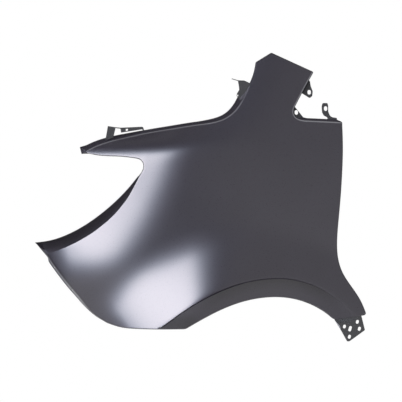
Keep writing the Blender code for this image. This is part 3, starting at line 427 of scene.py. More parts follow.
def edges():
    """The stretches of the outline, each with its fold, clockwise."""
    # Painted light along the folds: thin is a painted highlight on the bend, the bumper has painted shade on
    # its bend and a painted highlight on its leg, and the headlight wall's leg and the tip are painted shade.
    even = (NO_PALENESS, NO_PALENESS)
    thin = (NOTCH_PALENESS, NO_PALENESS)
    window = steady(WINDOW_DEPTH)
    hood = (
        BEND, (HOOD_PALENESS, NO_PALENESS), shared(HOOD_RISE_SHARES, HOOD_RISE),
        shared(HOOD_WALL_DEPTH_SHARES, HOOD_WALL_DEPTH), shared(HOOD_LEDGE_SHARES, HOOD_LEDGE),
    )
    horn = (HEM_BEND, even, steady(HORN_RISE), window, None)
    horn_back = (BEND, thin, shared(HORN_BACK_RISE_SHARES, WINDOW_RISE), window, None)
    notch_turn = (BEND, thin, shared(TURN_RISE_SHARES, WINDOW_RISE), window, None)
    notch_sill = (BEND, thin, shared(SILL_RISE_SHARES, WINDOW_RISE), window, None)
    door = (HEM_BEND, even, steady(DOOR_RISE), steady(DOOR_DEPTH), None)
    foot = (HEM_BEND, even, steady(FOOT_RISE), steady(FOOT_SLOPE * FOOT_RISE), None)
    arch = (HEM_BEND, even, steady(ARCH_RISE), shared(ARCH_DEPTH_SHARES, ARCH_DEPTH), None)
    bottom = (HEM_BEND, even, steady(BOTTOM_RISE), steady(BOTTOM_DEPTH), None)
    bumper = (
        BUMPER_BEND, (LIGHT_PALENESS, BUMPER_PALENESS), shared(BUMPER_RISE_SHARES, BUMPER_RISE),
        steady(BUMPER_DEPTH), None,
    )
    light = (
        HEM_BEND, (NO_PALENESS, LIGHT_PALENESS), shared(LIGHT_RISE_SHARES, LIGHT_RISE),
        shared(LIGHT_DEPTH_SHARES, LIGHT_DEPTH), None,
    )
    tip = (HEM_BEND, (LIGHT_PALENESS, LIGHT_PALENESS), steady(BEAK_RISE), steady(BEAK_DEPTH), None)
    beak = (HEM_BEND, even, steady(BEAK_RISE), steady(BEAK_DEPTH), None)
    return (
        Edge("hood_line", HOOD_LINE_SHARES, BEAK_CORNER_CUT, *hood),
        Edge("horn_front", HORN_FRONT_SHARES, HORN_CORNER_CUT, *horn),
        Edge("horn_peak", HORN_PEAK_SHARES, HORN_CORNER_CUT, *horn),
        Edge("horn_top", HORN_TOP_SHARES, HORN_CORNER_CUT, *horn),
        Edge("horn_back", HORN_BACK_SHARES, HORN_CORNER_CUT, *horn_back),
        Edge("notch_turn", NOTCH_TURN_SHARES, CORNER_CUT, *notch_turn),
        Edge("notch_sill", NOTCH_SILL_SHARES, CORNER_CUT, *notch_sill),
        Edge("door_edge", DOOR_EDGE_SHARES, CORNER_CUT, *door),
        Edge("foot_edge", FOOT_EDGE_SHARES, CORNER_CUT, *foot),
        Edge("wheel_arch", WHEEL_ARCH_SHARES, CORNER_CUT, *arch),
        Edge("bottom_edge", BOTTOM_EDGE_SHARES, CORNER_CUT, *bottom),
        Edge("bumper_line", BUMPER_LINE_SHARES, CORNER_CUT, *bumper),
        Edge("headlight_wall", HEADLIGHT_WALL_SHARES, LIGHT_CORNER_CUT, *light),
        Edge("headlight_tip", HEADLIGHT_TIP_SHARES, CORNER_CUT, *tip),
        Edge("beak_edge", BEAK_EDGE_SHARES, CORNER_CUT, *beak),
    )


def trimmed(edge, cut_end):
    """One stretch of the outline as even steps, cut back at both ends to make room for the corners."""
    fine = natural_spline(side_view(edge.shares), FIELD_STEPS)
    walk = np.r_[0, np.cumsum(np.hypot(*np.diff(fine, axis=0).T))]
    count = max(3, round((walk[-1] - edge.cut - cut_end) / EDGE_STEP) + 1)
    at = np.linspace(edge.cut, walk[-1] - cut_end, count)
    return np.column_stack([np.interp(at, walk, fine[:, k]) for k in (0, 1)]), at / walk[-1]


def fold_sizes(edge, along):
    """Rise and depth of leg and lip, the bend, and the paleness of bend and leg, at shares of one edge."""
    rise, depth = edge.rise(along), edge.depth(along)
    lip = (np.zeros_like(rise), edge.ledge(along)) if edge.ledge else (LIP_SHARE * rise, LIP_SHARE * depth)
    pale = [shared(pairs, 1)(along) for pairs in edge.pale]
    return np.column_stack([rise, depth, *lip, np.full(len(along), edge.bend), *pale])


def outline():
    """The whole outline with rounded corners: places, fold sizes, and each edge's places by name."""
    stretches = edges()
    runs = [trimmed(a, b.cut) for a, b in zip(stretches, stretches[1:] + stretches[:1])]
    sizes = [fold_sizes(edge, along) for edge, (_, along) in zip(stretches, runs)]
    places, folds, spans, count = [], [], {}, 0
    t = np.linspace(0, 1, CORNER_STEPS + 2)[1:-1, None]
    for k, (edge, (run, along)) in enumerate(zip(stretches, runs)):
        following = (k + 1) % len(stretches)
        start = runs[following][0][0]
        corner = side_view(stretches[following].shares[0])
        places += [run, (1 - t) ** 2 * run[-1] + 2 * t * (1 - t) * corner + t**2 * start]
        folds += [sizes[k], (1 - t) * sizes[k][-1] + t * sizes[following][0]]
        spans[edge.name] = (count, along, side_view(edge.shares[0]))
        count += len(run) + len(t)
    return np.vstack(places), np.vstack(folds), spans


def outward_normals(places):
    """Unit normals of the clockwise outline, pointing out of the skin."""
    run = np.roll(places, -1, axis=0) - np.roll(places, 1, axis=0)
    return unit(np.column_stack([-run[:, 1], run[:, 0]]))


def fold_reaches(places, normals, folds, spans):
    """Which way each leg points in the side view, so that it ends where it should.

    Most legs point outwards. The wall behind the headlight ends on its own rim, and at the two pointed
    corners the ends run straight from tip to tip.
    """
    reaches = normals.copy()
    rise = folds[:, [RISE]] + folds[:, [LIP_RISE]]
    start, along, _ = spans["headlight_wall"]
    wall = slice(start, start + len(along))
    rim = natural_spline(side_view(LIGHT_RIM_SHARES), FIELD_STEPS)
    steps = np.linspace(0, 1, FIELD_STEPS)
    goals = np.column_stack([np.interp(along, steps, rim[:, axis]) for axis in (0, 1)])
    reaches[wall] = (goals - places[wall]) / rise[wall]
    tops = places + reaches * rise
    for edge, tips in (("headlight_wall", NOSE_TIP_SHARES), ("hood_line", BEAK_TIP_SHARES)):
        last = spans[edge][0]
        first = last - CORNER_STEPS - 1
        at = [0, *(share for share, _ in tips), 1]
        path = np.vstack([tops[first], *(side_view(place) for _, place in tips), tops[last]])
        for k in range(1, CORNER_STEPS + 1):
            goal = [np.interp(k / (CORNER_STEPS + 1), at, path[:, axis]) for axis in (0, 1)]
            reaches[first + k] = (goal - places[first + k]) / rise[first + k]
    return reaches


def inner_rim(places, normals, bends, spans):
    """Where the bends start: one bend inside the outline, with corners that are drawn afresh.

    Each corner is a quadratic curve towards the place where the lines on both sides of it would meet.
    """
    rim = places - bends * normals
    t = np.linspace(0, 1, CORNER_STEPS + 2)[1:-1, None]
    for start, _, corner in spans.values():
        first = start - CORNER_STEPS - 1
        a, b = normals[first], normals[start]
        middle = corner - HALF * (bends[first] + bends[start]) * (a + b) / (1 + a @ b)
        turn = (1 - t) ** 2 * rim[first] + 2 * t * (1 - t) * middle + t**2 * rim[start]
        rim[first + 1 + np.arange(CORNER_STEPS)] = turn
    return rim


def on_skin(places):
    return np.column_stack([places[:, 0], skin_depth(*places.T), places[:, 1]])


def fold_rings(places, rim, reaches, folds):
    """The fold as a profile carried round the outline, one ring of points for each of its steps.

    The bend is a quadratic curve from the rim to the leg, with its middle control point on the outline.
    The leg and the lip are straight.
    """
    out = np.column_stack([reaches[:, 0], np.zeros(len(reaches)), reaches[:, 1]])
    inboard = np.array((0, 1, 0))
    leg = out * folds[:, [RISE]] + inboard * folds[:, [DEPTH]]
    lip = out * folds[:, [LIP_RISE]] + inboard * folds[:, [LIP_DEPTH]]
    spot, control = on_skin(rim), on_skin(places)
    end = control + folds[:, [BEND_SIZE]] * unit(leg)
    t = np.linspace(0, 1, BEND_STEPS + 1)[:, None, None]
    bend = (1 - t) ** 2 * spot + 2 * t * (1 - t) * control + t * t * end
    return np.concatenate([bend, [end + HALF * leg, end + leg, end + leg + lip]])


def inside(loop, spots):
    """Which spots lie inside a closed polygon: those with an odd number of crossings beside them."""
    crossings = np.zeros(len(spots), int)
    for a, b in zip(loop, np.roll(loop, -1, axis=0)):
        if a[1] == b[1]:
            continue
        spans = (a[1] > spots[:, 1]) != (b[1] > spots[:, 1])
        crossing = a[0] + (spots[:, 1] - a[1]) * (b[0] - a[0]) / (b[1] - a[1])
        crossings += spans & (spots[:, 0] < crossing)
    return crossings % 2 == 1


def skin_spots(rim):
    """Places inside the rim: a staggered grid, and close rows along the crest of the flare."""
    low, high = rim.min(axis=0), rim.max(axis=0)
    row_step = SKIN_GRID * math.sin(GRID_ANGLE)
    x, z = np.meshgrid(np.arange(low[0], high[0], SKIN_GRID), np.arange(low[1], high[1], row_step))
    x[1::2] += HALF * SKIN_GRID
    grid = np.column_stack([x.ravel(), z.ravel()])
    clear = max(SEAM_ROWS) * SEAM_HALF_WIDTH + HALF * SKIN_GRID
    grid = grid[np.abs(nearest_on(CREST_LINE, *grid.T)) > clear]
    length = np.hypot(*np.diff(CREST_LINE, axis=0).T).sum()
    line = natural_spline(side_view(FLARE_CREST_SHARES), round(length / SEAM_STEP))
    normals = unit(np.gradient(line, axis=0)) @ np.array(((0, 1), (-1, 0)))
    rows = np.vstack([line + row * SEAM_HALF_WIDTH * normals for row in SEAM_ROWS])
    closed = np.vstack([rim, rim[:1]])
    kept = []
    for spots, margin in ((grid, HALF * SKIN_GRID), (rows, SEAM_HALF_WIDTH)):
        spots = spots[inside(rim, spots)]
        kept.append(spots[np.abs(nearest_on(closed, *spots.T)) > margin])
    return np.vstack(kept)


def triangles(rim, spots):
    """Delaunay triangles of the rim and the spots inside it, as indices into both."""
    points = [Vector(p) for p in np.vstack([rim, spots])]
    result = delaunay_2d_cdt(points, [], [list(range(len(rim)))], TRIANGULATE_FACES, HAIR)
    sources = np.array([origin[0] for origin in result[3]])
    return sources[np.array(result[2])]


def painted_shade_under_crest(places):
    """Painted shade on the face of the skin: 0, and negative below the crest, where the primer is painted
    darker.

    Behind, the painted shade fades evenly with the distance below the crest. At the front end of the band it
    grows towards the bottom edge instead.
    """
    x, z = places.T
    gap = nearest_on(CREST_LINE, x, z)
    rear = np.clip(1 + gap / PAINTED_SHADE_REACH, 0, 1) * amount_at(across, x, PAINTED_SHADE_REAR_SHARES)
    front = amount_at(across, x, PAINTED_SHADE_FRONT_SHARES) * amount_at(upward, z, PAINTED_SHADE_LOW_SHARES)
    return np.where(gap < 0, -PAINTED_SHADE_AMOUNT * np.maximum(rear, front), 0)


def skin_mesh():
    """The outside face of the skin with all its folds: its points, its faces, and its painted highlight and
    shade.

    The paleness of a bend follows half a sine wave across it. The rings of the folds and the edges' places
    in them come along, for the holes.
    """
    places, folds, spans = outline()
    normals = outward_normals(places)
    rim = inner_rim(places, normals, folds[:, [BEND_SIZE]], spans)
    rings = fold_rings(places, rim, fold_reaches(places, normals, folds, spans), folds)
    spots = skin_spots(rim)
    faces = triangles(rim, spots)
    flat = np.vstack([rim, spots])
    corners = flat[faces]
    a, b = corners[:, 1] - corners[:, 0], corners[:, 2] - corners[:, 0]
    flipped = a[:, 0] * b[:, 1] - a[:, 1] * b[:, 0] < 0
    faces[flipped] = faces[flipped][:, ::-1]
    points = np.vstack([rings[0], on_skin(spots), rings[1:].reshape(-1, 3)])
    # Painted highlight along the bends, as half a sine wave, and painted shade on the legs where their
    # paleness is negative.
    bend = np.sin(np.pi * np.arange(1, BEND_STEPS + 1) / BEND_STEPS)[:, None] * folds[:, BEND_PALENESS]
    black = np.minimum(folds[:, LEG_PALENESS], 0)
    leg = np.stack([folds[:, LEG_PALENESS], black, black])
    film = np.concatenate([painted_shade_under_crest(flat), bend.ravel(), leg.ravel()])
    count = len(rim)
    starts = np.r_[0, count + len(spots) + count * np.arange(len(rings) - 1)]
    around = np.arange(count)
    ahead = (around + 1) % count
    quads = np.concatenate([
        np.column_stack([near + around, near + ahead, far + ahead, far + around])
        for near, far in zip(starts, starts[1:])
    ])
    return points, faces.tolist() + quads.tolist(), film, rings, spans


def piece(name, points, faces, material, sharp_angle):
    """A finished piece at the origin: its mesh, its shading and its material."""
    mesh = bpy.data.meshes.new(name)
    mesh.from_pydata(points, [], faces)
    mesh.validate()
    mesh.update()
    mesh.shade_smooth()
    mesh.set_sharp_from_angle(angle=sharp_angle)
    obj = bpy.data.objects.new(name, mesh)
    bpy.context.scene.collection.objects.link(obj)
    mesh.materials.append(material)
    return obj


def linear(hex_colour):
    """The linear colour of an sRGB hex value."""
    srgb = np.array([int(hex_colour[i:i + 2], 16) / 255 for i in (1, 3, 5)])
    return (*np.where(srgb <= 0.04045, srgb / 12.92, ((srgb + 0.055) / 1.055) ** 2.4), 1)


def add_node(tree, kind, links=(), **settings):
    """A node with its settings, and its inputs set to a value or linked to a socket."""
    node = tree.nodes.new(kind)
    for name, value in settings.items():
        setattr(node, name, value)
    for name, value in links:
        if isinstance(name, str):
            socket = next(s for s in node.inputs if s.enabled and s.name == name)
        else:
            socket = node.inputs[name]
        if isinstance(value, bpy.types.NodeSocket):
            tree.links.new(value, socket)
        else:
            socket.default_value = value
    return node


# The primer, with highlights painted pale along the folds and shade painted black in the headlight recess, on
# the beak tip, along the bumper bend and below the flare's crest. Its mottling is a hand's breadth wide. Its
# orange peel and its dust are drawn coarser than they are, so that they show.
PAINTED_HIGHLIGHT_COLOUR = "#87878d"
PAINTED_SHADE_COLOUR = "#1d1a20"
PRIMER_IOR = 1.54
MOTTLE_WIDTH = 111.11 * MM
DUST_WIDTH = 2.381 * MM
DUST_ROUGHNESS = 0.02
PEEL_WIDTH = 6.25 * MM
PEEL_HEIGHT = 0.02 * MM
PEEL_STRENGTH = 0.08


def dip_primer(name, thin, thick, roughness):
    """Black cathodic dip primer, baked: satin black, a little mottled, with fine dust in the film.

    Highlights are painted paler along the bends, and shade is painted black in the headlight recess, on the
    beak tip, along the bumper bend and below the flare's crest. The skin's point attribute of painted light
    is 1 for a full painted highlight and -1 for full painted shade, and nothing on the brackets.
    """
    material = bpy.data.materials.new(name)
    material.use_nodes = True
    tree = material.node_tree
    surface = tree.nodes["Principled BSDF"]
    place = add_node(tree, "ShaderNodeTexCoord").outputs["Object"]
    pools = add_node(tree, "ShaderNodeTexNoise", (
        ("Vector", place), ("Scale", 1 / MOTTLE_WIDTH), ("Detail", 3.0), ("Roughness", 0.5)))
    grain = add_node(tree, "ShaderNodeTexNoise", (
        ("Vector", place), ("Scale", 1 / DUST_WIDTH), ("Detail", 2.0), ("Roughness", 0.6)))
    peel = add_node(tree, "ShaderNodeTexNoise", (
        ("Vector", place), ("Scale", 1 / PEEL_WIDTH), ("Detail", 1.0)))
    film = add_node(tree, "ShaderNodeMix", (
        ("Factor", pools.outputs["Fac"]), ("A", linear(thin)), ("B", linear(thick))),
        data_type="RGBA")
    # Painted highlight: a pale grey mixed in where the skin's attribute of painted light is positive.
    bends = add_node(tree, "ShaderNodeAttribute", attribute_name="painted_highlight_and_shade")
    painted_highlight_mix = add_node(tree, "ShaderNodeMix", (
        ("Factor", bends.outputs["Fac"]), ("A", film.outputs["Result"]), ("B", linear(PAINTED_HIGHLIGHT_COLOUR))),
        data_type="RGBA")
    # Painted shade: near-black mixed in where the attribute of painted light is negative.
    painted_shade_factor = add_node(tree, "ShaderNodeMath", ((0, bends.outputs["Fac"]), (1, -1)), operation="MULTIPLY")
    colour = add_node(tree, "ShaderNodeMix", (
        ("Factor", painted_shade_factor.outputs["Value"]), ("A", painted_highlight_mix.outputs["Result"]), ("B", linear(PAINTED_SHADE_COLOUR))),
        data_type="RGBA")
    tree.links.new(colour.outputs["Result"], surface.inputs["Base Color"])
    rough = add_node(tree, "ShaderNodeMapRange", (
        ("Value", grain.outputs["Fac"]), ("From Min", 0.3), ("From Max", 0.7),
        ("To Min", roughness - DUST_ROUGHNESS), ("To Max", roughness + DUST_ROUGHNESS)))
    tree.links.new(rough.outputs["Result"], surface.inputs["Roughness"])
    bump = add_node(tree, "ShaderNodeBump", (
        ("Height", peel.outputs["Fac"]), ("Strength", PEEL_STRENGTH), ("Distance", PEEL_HEIGHT)))
    tree.links.new(bump.outputs["Normal"], surface.inputs["Normal"])
    surface.inputs["Metallic"].default_value = 0
    surface.inputs["IOR"].default_value = PRIMER_IOR
    return material


SKIN_PRIMER = dip_primer("satin_black_dip_primer", "#2c2931", "#302d36", 0.29)
BRACKET_PRIMER = dip_primer("bracket_dip_primer", "#252528", "#2b2b2f", 0.36)


# Holes in the skin: slots in the hood ledge and round holes in the bumper flange. Each set has its edge,
# its shares of that edge, the two rings of the fold that it lies between, and its length and width.
LEDGE_SLOTS = ("hood_line", (0.40, 0.56, 0.72), (-2, -1), 12 * MM, 7 * MM)
BUMPER_HOLES = ("bumper_line", (0.22, 0.52, 0.84), (-4, -2), 6.5 * MM, 6.5 * MM)
HOLE_DEPTH = 12 * MM
ROUND_STEPS = 12


def hole_prisms(rings, spans):
    """Points and faces of a closed prism for each hole, square to the strip that it pierces."""
    turn = np.linspace(-math.pi / 2, math.pi / 2, ROUND_STEPS)
    points, faces = [], []
    for name, shares, (near, far), length, width in (LEDGE_SLOTS, BUMPER_HOLES):
        end = np.column_stack([np.cos(turn), np.sin(turn)]) * HALF * width
        end[:, 0] += HALF * (length - width) + HAIR
        rim = np.vstack([end, -end])
        count = len(rim)
        for share in shares:
            start, along, _ = spans[name]
            k = start + int(np.interp(share, along, np.arange(len(along))))
            x = unit(rings[near][k + 1] - rings[near][k])
            z = unit(np.cross(x, rings[far][k] - rings[near][k]))
            flat = HALF * (rings[near][k] + rings[far][k]) + rim[:, :1] * x + rim[:, 1:] * np.cross(z, x)
            first = count * len(points)
            points += [flat - HALF * HOLE_DEPTH * z, flat + HALF * HOLE_DEPTH * z]
            around = [first + i for i in range(count)]
            ahead = around[1:] + around[:1]
            faces += [around[::-1], [count + i for i in around]]
            faces += [[a, b, count + b, count + a] for a, b in zip(around, ahead)]
    return np.vstack(points), faces


def pierce(obj, points, faces):
    """Cuts closed prisms out of a piece, and settles its modifiers into its mesh."""
    tool = piece("punch", points, faces, SKIN_PRIMER, SHARP_ANGLE)
    hole = obj.modifiers.new("holes", "BOOLEAN")
    hole.operation = "DIFFERENCE"
    hole.solver = "EXACT"
    hole.object = tool
    finished = obj.evaluated_get(bpy.context.evaluated_depsgraph_get())
    mesh = bpy.data.meshes.new_from_object(finished)
    obj.modifiers.clear()
    obj.data = mesh
    bpy.data.objects.remove(tool)


def make_skin():
    """The pressed sheet, with its holes, and with its painted highlight and shade as a point attribute."""
    points, faces, film, rings, spans = skin_mesh()
    skin = piece("pressed_skin", points, faces, SKIN_PRIMER, SKIN_SHARP_ANGLE)
    # The attribute holds painted light: positive for painted highlight, negative for painted shade.
    skin.data.attributes.new("painted_highlight_and_shade", "FLOAT", "POINT").data.foreach_set("value", film)
    wall = skin.modifiers.new("sheet", "SOLIDIFY")
    wall.thickness = SHEET
    wall.offset = -1
    wall.use_even_offset = True
    pierce(skin, *hole_prisms(rings, spans))
    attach(skin, "root")
    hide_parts("fender_skin")


# Brackets that are folded here from their photographed outlines: a web that faces the side, and a shelf
# turned inboard along a run of the web's corners. Outlines are in hundredths, as the skin's are.
RAIL_WEB_SHARES = (
    (21.75, 74.2), (24.2, 73.75), (25.7, 73.6), (28.6, 73.75), (32.2, 73.95), (32.6, 73.7), (33.0, 72.2),
    (32.2, 72.95), (29.0, 72.35), (25.8, 71.75), (25.6, 73.2), (24.1, 73.4), (23.45, 70.0), (21.0, 69.0),
)
RAIL_SHELF_CORNERS = (2, 3, 4)
RAIL_SLOT_SHARES = ((27.25, 72.4), (27.9, 72.55), (27.9, 73.2), (27.25, 73.1))
RAIL_SHELF_DEPTH = 38 * MM
COWL_WEB_SHARES = (
    (59.7, 91.65), (61.6, 90.95), (63.55, 90.85), (65.2, 89.9), (65.4, 87.5), (62.2, 83.4), (61.65, 84.3),
    (61.15, 85.2), (61.3, 86.15), (61.95, 87.4), (61.9, 88.4), (61.65, 90.2), (61.55, 90.75), (59.7, 91.5),
)
COWL_SHELF_CORNERS = (0, 1, 2)
COWL_HOLE_SHARES = ((61.35, 85.0), (61.65, 85.0), (61.65, 85.6), (61.35, 85.6))
COWL_SHELF_DEPTH = 45 * MM
BRACKET_SHEET = 1.2 * MM


def folded_bracket(name, node, web_shares, hole_shares, shelf_corners, shelf_depth):
    """A flat web in the side view, less its hole, with a shelf swept inboard from some of its corners."""
    web, hole = side_view(web_shares), side_view(hole_shares)
    loops = [list(range(len(web))), list(range(len(web), len(web) + len(hole)))]
    edges = [(a, b) for loop in loops for a, b in zip(loop, loop[1:] + loop[:1])]
    flat = np.vstack([web, hole])
    result = delaunay_2d_cdt([Vector(p) for p in flat], edges, [], TRIANGULATE_LESS_HOLES, HAIR)
    spots = np.array([tuple(p) for p in result[0]])
    faces = np.array(result[2])
    middles = spots[faces].mean(axis=1)
    faces = faces[inside(web, middles) & ~inside(hole, middles)]
    a, b = spots[faces[:, 1]] - spots[faces[:, 0]], spots[faces[:, 2]] - spots[faces[:, 0]]
    flipped = a[:, 0] * b[:, 1] - a[:, 1] * b[:, 0] < 0
    faces[flipped] = faces[flipped][:, ::-1]
    near = np.array(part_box(node)[0])[1]
    places = np.column_stack([spots[:, 0], np.full(len(spots), near), spots[:, 1]])
    fold = [int(np.argmin(np.hypot(*(spots - web[k]).T))) for k in shelf_corners]
    shelf = places[fold] + np.array((0, shelf_depth, 0))
    count = len(places)
    quads = [[a, b, count + k + 1, count + k] for k, (a, b) in enumerate(zip(fold, fold[1:]))]
    bracket = piece(name, np.vstack([places, shelf]), faces.tolist() + quads, BRACKET_PRIMER, SHARP_ANGLE)
    bracket.data.shade_flat()
    wall = bracket.modifiers.new("sheet", "SOLIDIFY")
    wall.thickness = BRACKET_SHEET
    wall.offset = -1
    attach(bracket, "root")
    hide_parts(node)


def coat_brackets():
    """The other brackets keep the solids' form, under the bracket's primer."""
    for node in ("sill_bracket", "pillar_tab", "notch_gusset", "window_tab"):
        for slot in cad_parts[node].material_slots:
            slot.material = BRACKET_PRIMER


# Camera: level, square to the side of the fender and 12 m away, framed as in the photograph.
VIEW_DISTANCE = 12.0
VIEW_MIDDLE = (-0.5533, 0.4796)
VIEW_WIDTH = 1.4472
SENSOR = 36.0
CLIP_END = 100


def add_camera():
    data = bpy.data.cameras.new("camera")
    data.sensor_width = SENSOR
    data.lens = SENSOR * VIEW_DISTANCE / VIEW_WIDTH
    data.clip_end = CLIP_END
    camera = bpy.data.objects.new("camera", data)
    camera.location = (VIEW_MIDDLE[0], -VIEW_DISTANCE, VIEW_MIDDLE[1])
    camera.rotation_euler = (math.pi / 2, 0, 0)
    bpy.context.scene.collection.objects.link(camera)
    bpy.context.scene.camera = camera


# Light: one wide bowed softbox to the front left, which the skin mirrors as its two bright zones. Its
# angles are in degrees. Azimuths turn from the camera's direction towards the front of the vehicle, and the
# lean is in degrees of azimuth for each degree of elevation. Its light is given for red, green and blue: it
# is faintly violet, with a bluer rim and a weak spill outside. The room's reflection runs from the first
# surround level to the second between two heights of the direction.
SOFTBOX_DISTANCE = 30.0
SOFTBOX_AZIMUTHS = (41.0, 85)
SOFTBOX_ELEVATIONS = (-14.7, 39.5)
SOFTBOX_CORNER = 14
SOFTBOX_LEAN = 0.35
SOFTBOX_LEAN_START = 19
SOFTBOX_LEAN_SOFTNESS = 4
SOFTBOX_RADIANCE = np.array((18.7, 18.3, 19.6))
SOFTBOX_INSET = np.array((0.9, 0.5, 0.0))
SOFTBOX_RIM = 1.8
SOFTBOX_SPILL = np.array((0.075, 0.1, 0.12))
SOFTBOX_SPILL_RIM = 5.0
SOFTBOX_SPILL_REACH = 8.0
SOFTBOX_MARGIN = 34
SOFTBOX_STEP = 1.0
FILL_RADIANCE = 1.4
FILL_DISTANCE = 14.0
SURROUND_HEIGHTS = (-0.6, 0.3)
SURROUND_LEVELS = (1.7, 0.68)


def direction(azimuth, elevation):
    """Unit vectors for azimuths, turned from -Y towards -X, and elevations, both in degrees."""
    azimuth, elevation = np.radians(azimuth), np.radians(elevation)
    level = np.cos(elevation)
    return np.stack([-np.sin(azimuth) * level, -np.cos(azimuth) * level, np.sin(elevation)], axis=-1)


def outside_softbox(azimuth, elevation):
    """Degrees outside a rectangle with round corners, whose upper part leans towards the camera.

    With u and v the distances from its middle less its half sizes plus the corner radius, the distance is
    hypot(max(u, 0), max(v, 0)) + min(max(u, v), 0) - radius.
    """
    leaning = azimuth + SOFTBOX_LEAN * soft_ramp(elevation - SOFTBOX_LEAN_START, SOFTBOX_LEAN_SOFTNESS)
    u, v = (
        np.abs(angle - sum(pair) / 2) - (pair[1] - pair[0]) / 2 + SOFTBOX_CORNER
        for angle, pair in ((leaning, SOFTBOX_AZIMUTHS), (elevation, SOFTBOX_ELEVATIONS)))
    return np.hypot(np.maximum(u, 0), np.maximum(v, 0)) + np.minimum(np.maximum(u, v), 0) - SOFTBOX_CORNER


def shining_material(name):
    """A material that shines and does nothing else, and its emission node."""
    material = bpy.data.materials.new(name)
    material.use_nodes = True
    tree = material.node_tree
    tree.nodes.remove(tree.nodes["Principled BSDF"])
    shine = add_node(tree, "ShaderNodeEmission")
    tree.links.new(shine.outputs["Emission"], tree.nodes["Material Output"].inputs["Surface"])
    return material, shine


def keep_to_reflections(obj):
    """Hides a piece from all but reflections: from the camera, the matt part of the light and shadows."""
    obj.visible_camera = False
    obj.visible_diffuse = False
    obj.visible_shadow = False


def add_softbox():
    """Part of a sphere round the fender, whose light fades outwards by two logistic steps."""
    azimuth, elevation = np.meshgrid(*(
        np.arange(a - SOFTBOX_MARGIN, b + SOFTBOX_MARGIN + SOFTBOX_STEP, SOFTBOX_STEP)
        for a, b in (SOFTBOX_AZIMUTHS, SOFTBOX_ELEVATIONS)))
    middle = np.array((VIEW_MIDDLE[0], 0, VIEW_MIDDLE[1]))
    points = (middle + SOFTBOX_DISTANCE * direction(azimuth, elevation)).reshape(-1, 3)
    rows, columns = azimuth.shape
    k = (np.arange(rows - 1)[:, None] * columns + np.arange(columns - 1)).ravel()
    faces = np.column_stack([k, k + 1, k + columns + 1, k + columns]).tolist()
    gap = outside_softbox(azimuth, elevation)[..., None]
    cloth = 1 / (1 + np.exp((gap + SOFTBOX_INSET) / SOFTBOX_RIM))
    spill = 1 / (1 + np.exp((gap - SOFTBOX_SPILL_REACH) / SOFTBOX_SPILL_RIM))
    colours = np.ones((rows * columns, 4))
    colours[:, :3] = (SOFTBOX_RADIANCE * ((1 - SOFTBOX_SPILL) * cloth + SOFTBOX_SPILL * spill)).reshape(-1, 3)
    material, shine = shining_material("softbox_cloth")
    glow = add_node(material.node_tree, "ShaderNodeAttribute", attribute_name="glow")
    material.node_tree.links.new(glow.outputs["Color"], shine.inputs["Color"])
    softbox = piece("softbox", points, faces, material, math.pi)
    shades = softbox.data.color_attributes.new("glow", "FLOAT_COLOR", "POINT")
    shades.data.foreach_set("color", colours.ravel())
    keep_to_reflections(softbox)


def add_fill():
    """A round lamp on the softbox's side, as wide as it is far away, for the matt part of the light alone.

    Its power is its radiance times pi times its area.
    """
    azimuth, elevation = (sum(pair) / 2 for pair in (SOFTBOX_AZIMUTHS, SOFTBOX_ELEVATIONS))
    towards = Vector(direction(azimuth, elevation))
    data = bpy.data.lights.new("fill", "AREA")
    data.shape = "DISK"
    data.size = FILL_DISTANCE
    data.energy = FILL_RADIANCE * math.pi**2 * data.size**2 / 4
    lamp = bpy.data.objects.new("fill", data)
    lamp.location = Vector((VIEW_MIDDLE[0], 0, VIEW_MIDDLE[1])) + FILL_DISTANCE * towards
    lamp.rotation_euler = towards.to_track_quat("Z", "Y").to_euler()
    lamp.visible_camera = False
    lamp.visible_glossy = False
    bpy.context.scene.collection.objects.link(lamp)


# A dark grey screen behind the fender, which the camera doesn't see: the folds mirror it.
SCREEN_DISTANCE = 2.5
SCREEN_SIZE = 14.0
SCREEN_LEVEL = 0.02


def add_screen():
    """An upright square behind the fender, seen in reflections alone."""
    x, z = VIEW_MIDDLE
    half = HALF * SCREEN_SIZE
    corners = ((-half, -half), (half, -half), (half, half), (-half, half))
    points = [(x + right, SCREEN_DISTANCE, z + up) for right, up in corners]
    material, shine = shining_material("dark_grey_screen")
    shine.inputs["Strength"].default_value = SCREEN_LEVEL
    screen = piece("screen", points, [(0, 1, 2, 3)], material, math.pi)
    keep_to_reflections(screen)


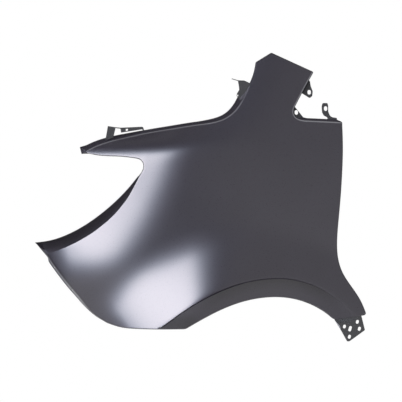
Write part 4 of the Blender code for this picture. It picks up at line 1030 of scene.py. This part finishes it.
def add_world():
    """A white room, whose reflection is a straight ramp of the direction's z, lighter below than above."""
    world = bpy.data.worlds.new("white_room")
    bpy.context.scene.world = world
    world.use_nodes = True
    tree = world.node_tree
    path = add_node(tree, "ShaderNodeLightPath")
    towards = add_node(tree, "ShaderNodeSeparateXYZ", (
        ("Vector", add_node(tree, "ShaderNodeTexCoord").outputs["Generated"]),))
    level = add_node(tree, "ShaderNodeMapRange", (
        ("Value", towards.outputs["Z"]), ("From Min", SURROUND_HEIGHTS[0]), ("From Max", SURROUND_HEIGHTS[1]),
        ("To Min", SURROUND_LEVELS[0]), ("To Max", SURROUND_LEVELS[1])))
    strength = add_node(tree, "ShaderNodeMix", (
        ("Factor", path.outputs["Is Glossy Ray"]), ("A", 1), ("B", level.outputs["Result"])),
        data_type="FLOAT")
    background = tree.nodes["Background"]
    background.inputs["Color"].default_value = (1, 1, 1, 1)
    tree.links.new(strength.outputs["Result"], background.inputs["Strength"])


FLOOR_DROP = 0.9
FLOOR_RADIUS = 3.0
FLOOR_STEPS = 96
FLOOR_COLOUR = "#f7f7f7"
FLOOR_ROUGHNESS = 0.9
FLOOR_SPECULAR = 0.1


def add_floor():
    """A round pale floor, well below the hung fender."""
    turn = np.linspace(0, 2 * math.pi, FLOOR_STEPS, endpoint=False)
    x = VIEW_MIDDLE[0] + FLOOR_RADIUS * np.cos(turn)
    y = FLOOR_RADIUS * np.sin(turn)
    points = np.column_stack([x, y, np.full(FLOOR_STEPS, CAD_BOX[0][2] - FLOOR_DROP)])
    material = bpy.data.materials.new("matt_white_floor")
    material.use_nodes = True
    surface = material.node_tree.nodes["Principled BSDF"]
    surface.inputs["Base Color"].default_value = linear(FLOOR_COLOUR)
    surface.inputs["Roughness"].default_value = FLOOR_ROUGHNESS
    surface.inputs["Specular IOR Level"].default_value = FLOOR_SPECULAR
    piece("floor", points, [list(range(FLOOR_STEPS))], material, SHARP_ANGLE)


bpy.context.scene.view_settings.view_transform = "Standard"
add_camera()
add_softbox()
add_fill()
add_screen()
add_world()
add_floor()
make_skin()
folded_bracket(
    "rail_bracket_pressing", "rail_bracket", RAIL_WEB_SHARES, RAIL_SLOT_SHARES, RAIL_SHELF_CORNERS,
    RAIL_SHELF_DEPTH,
)
folded_bracket(
    "cowl_bracket_pressing", "cowl_bracket", COWL_WEB_SHARES, COWL_HOLE_SHARES, COWL_SHELF_CORNERS,
    COWL_SHELF_DEPTH,
)
coat_brackets()
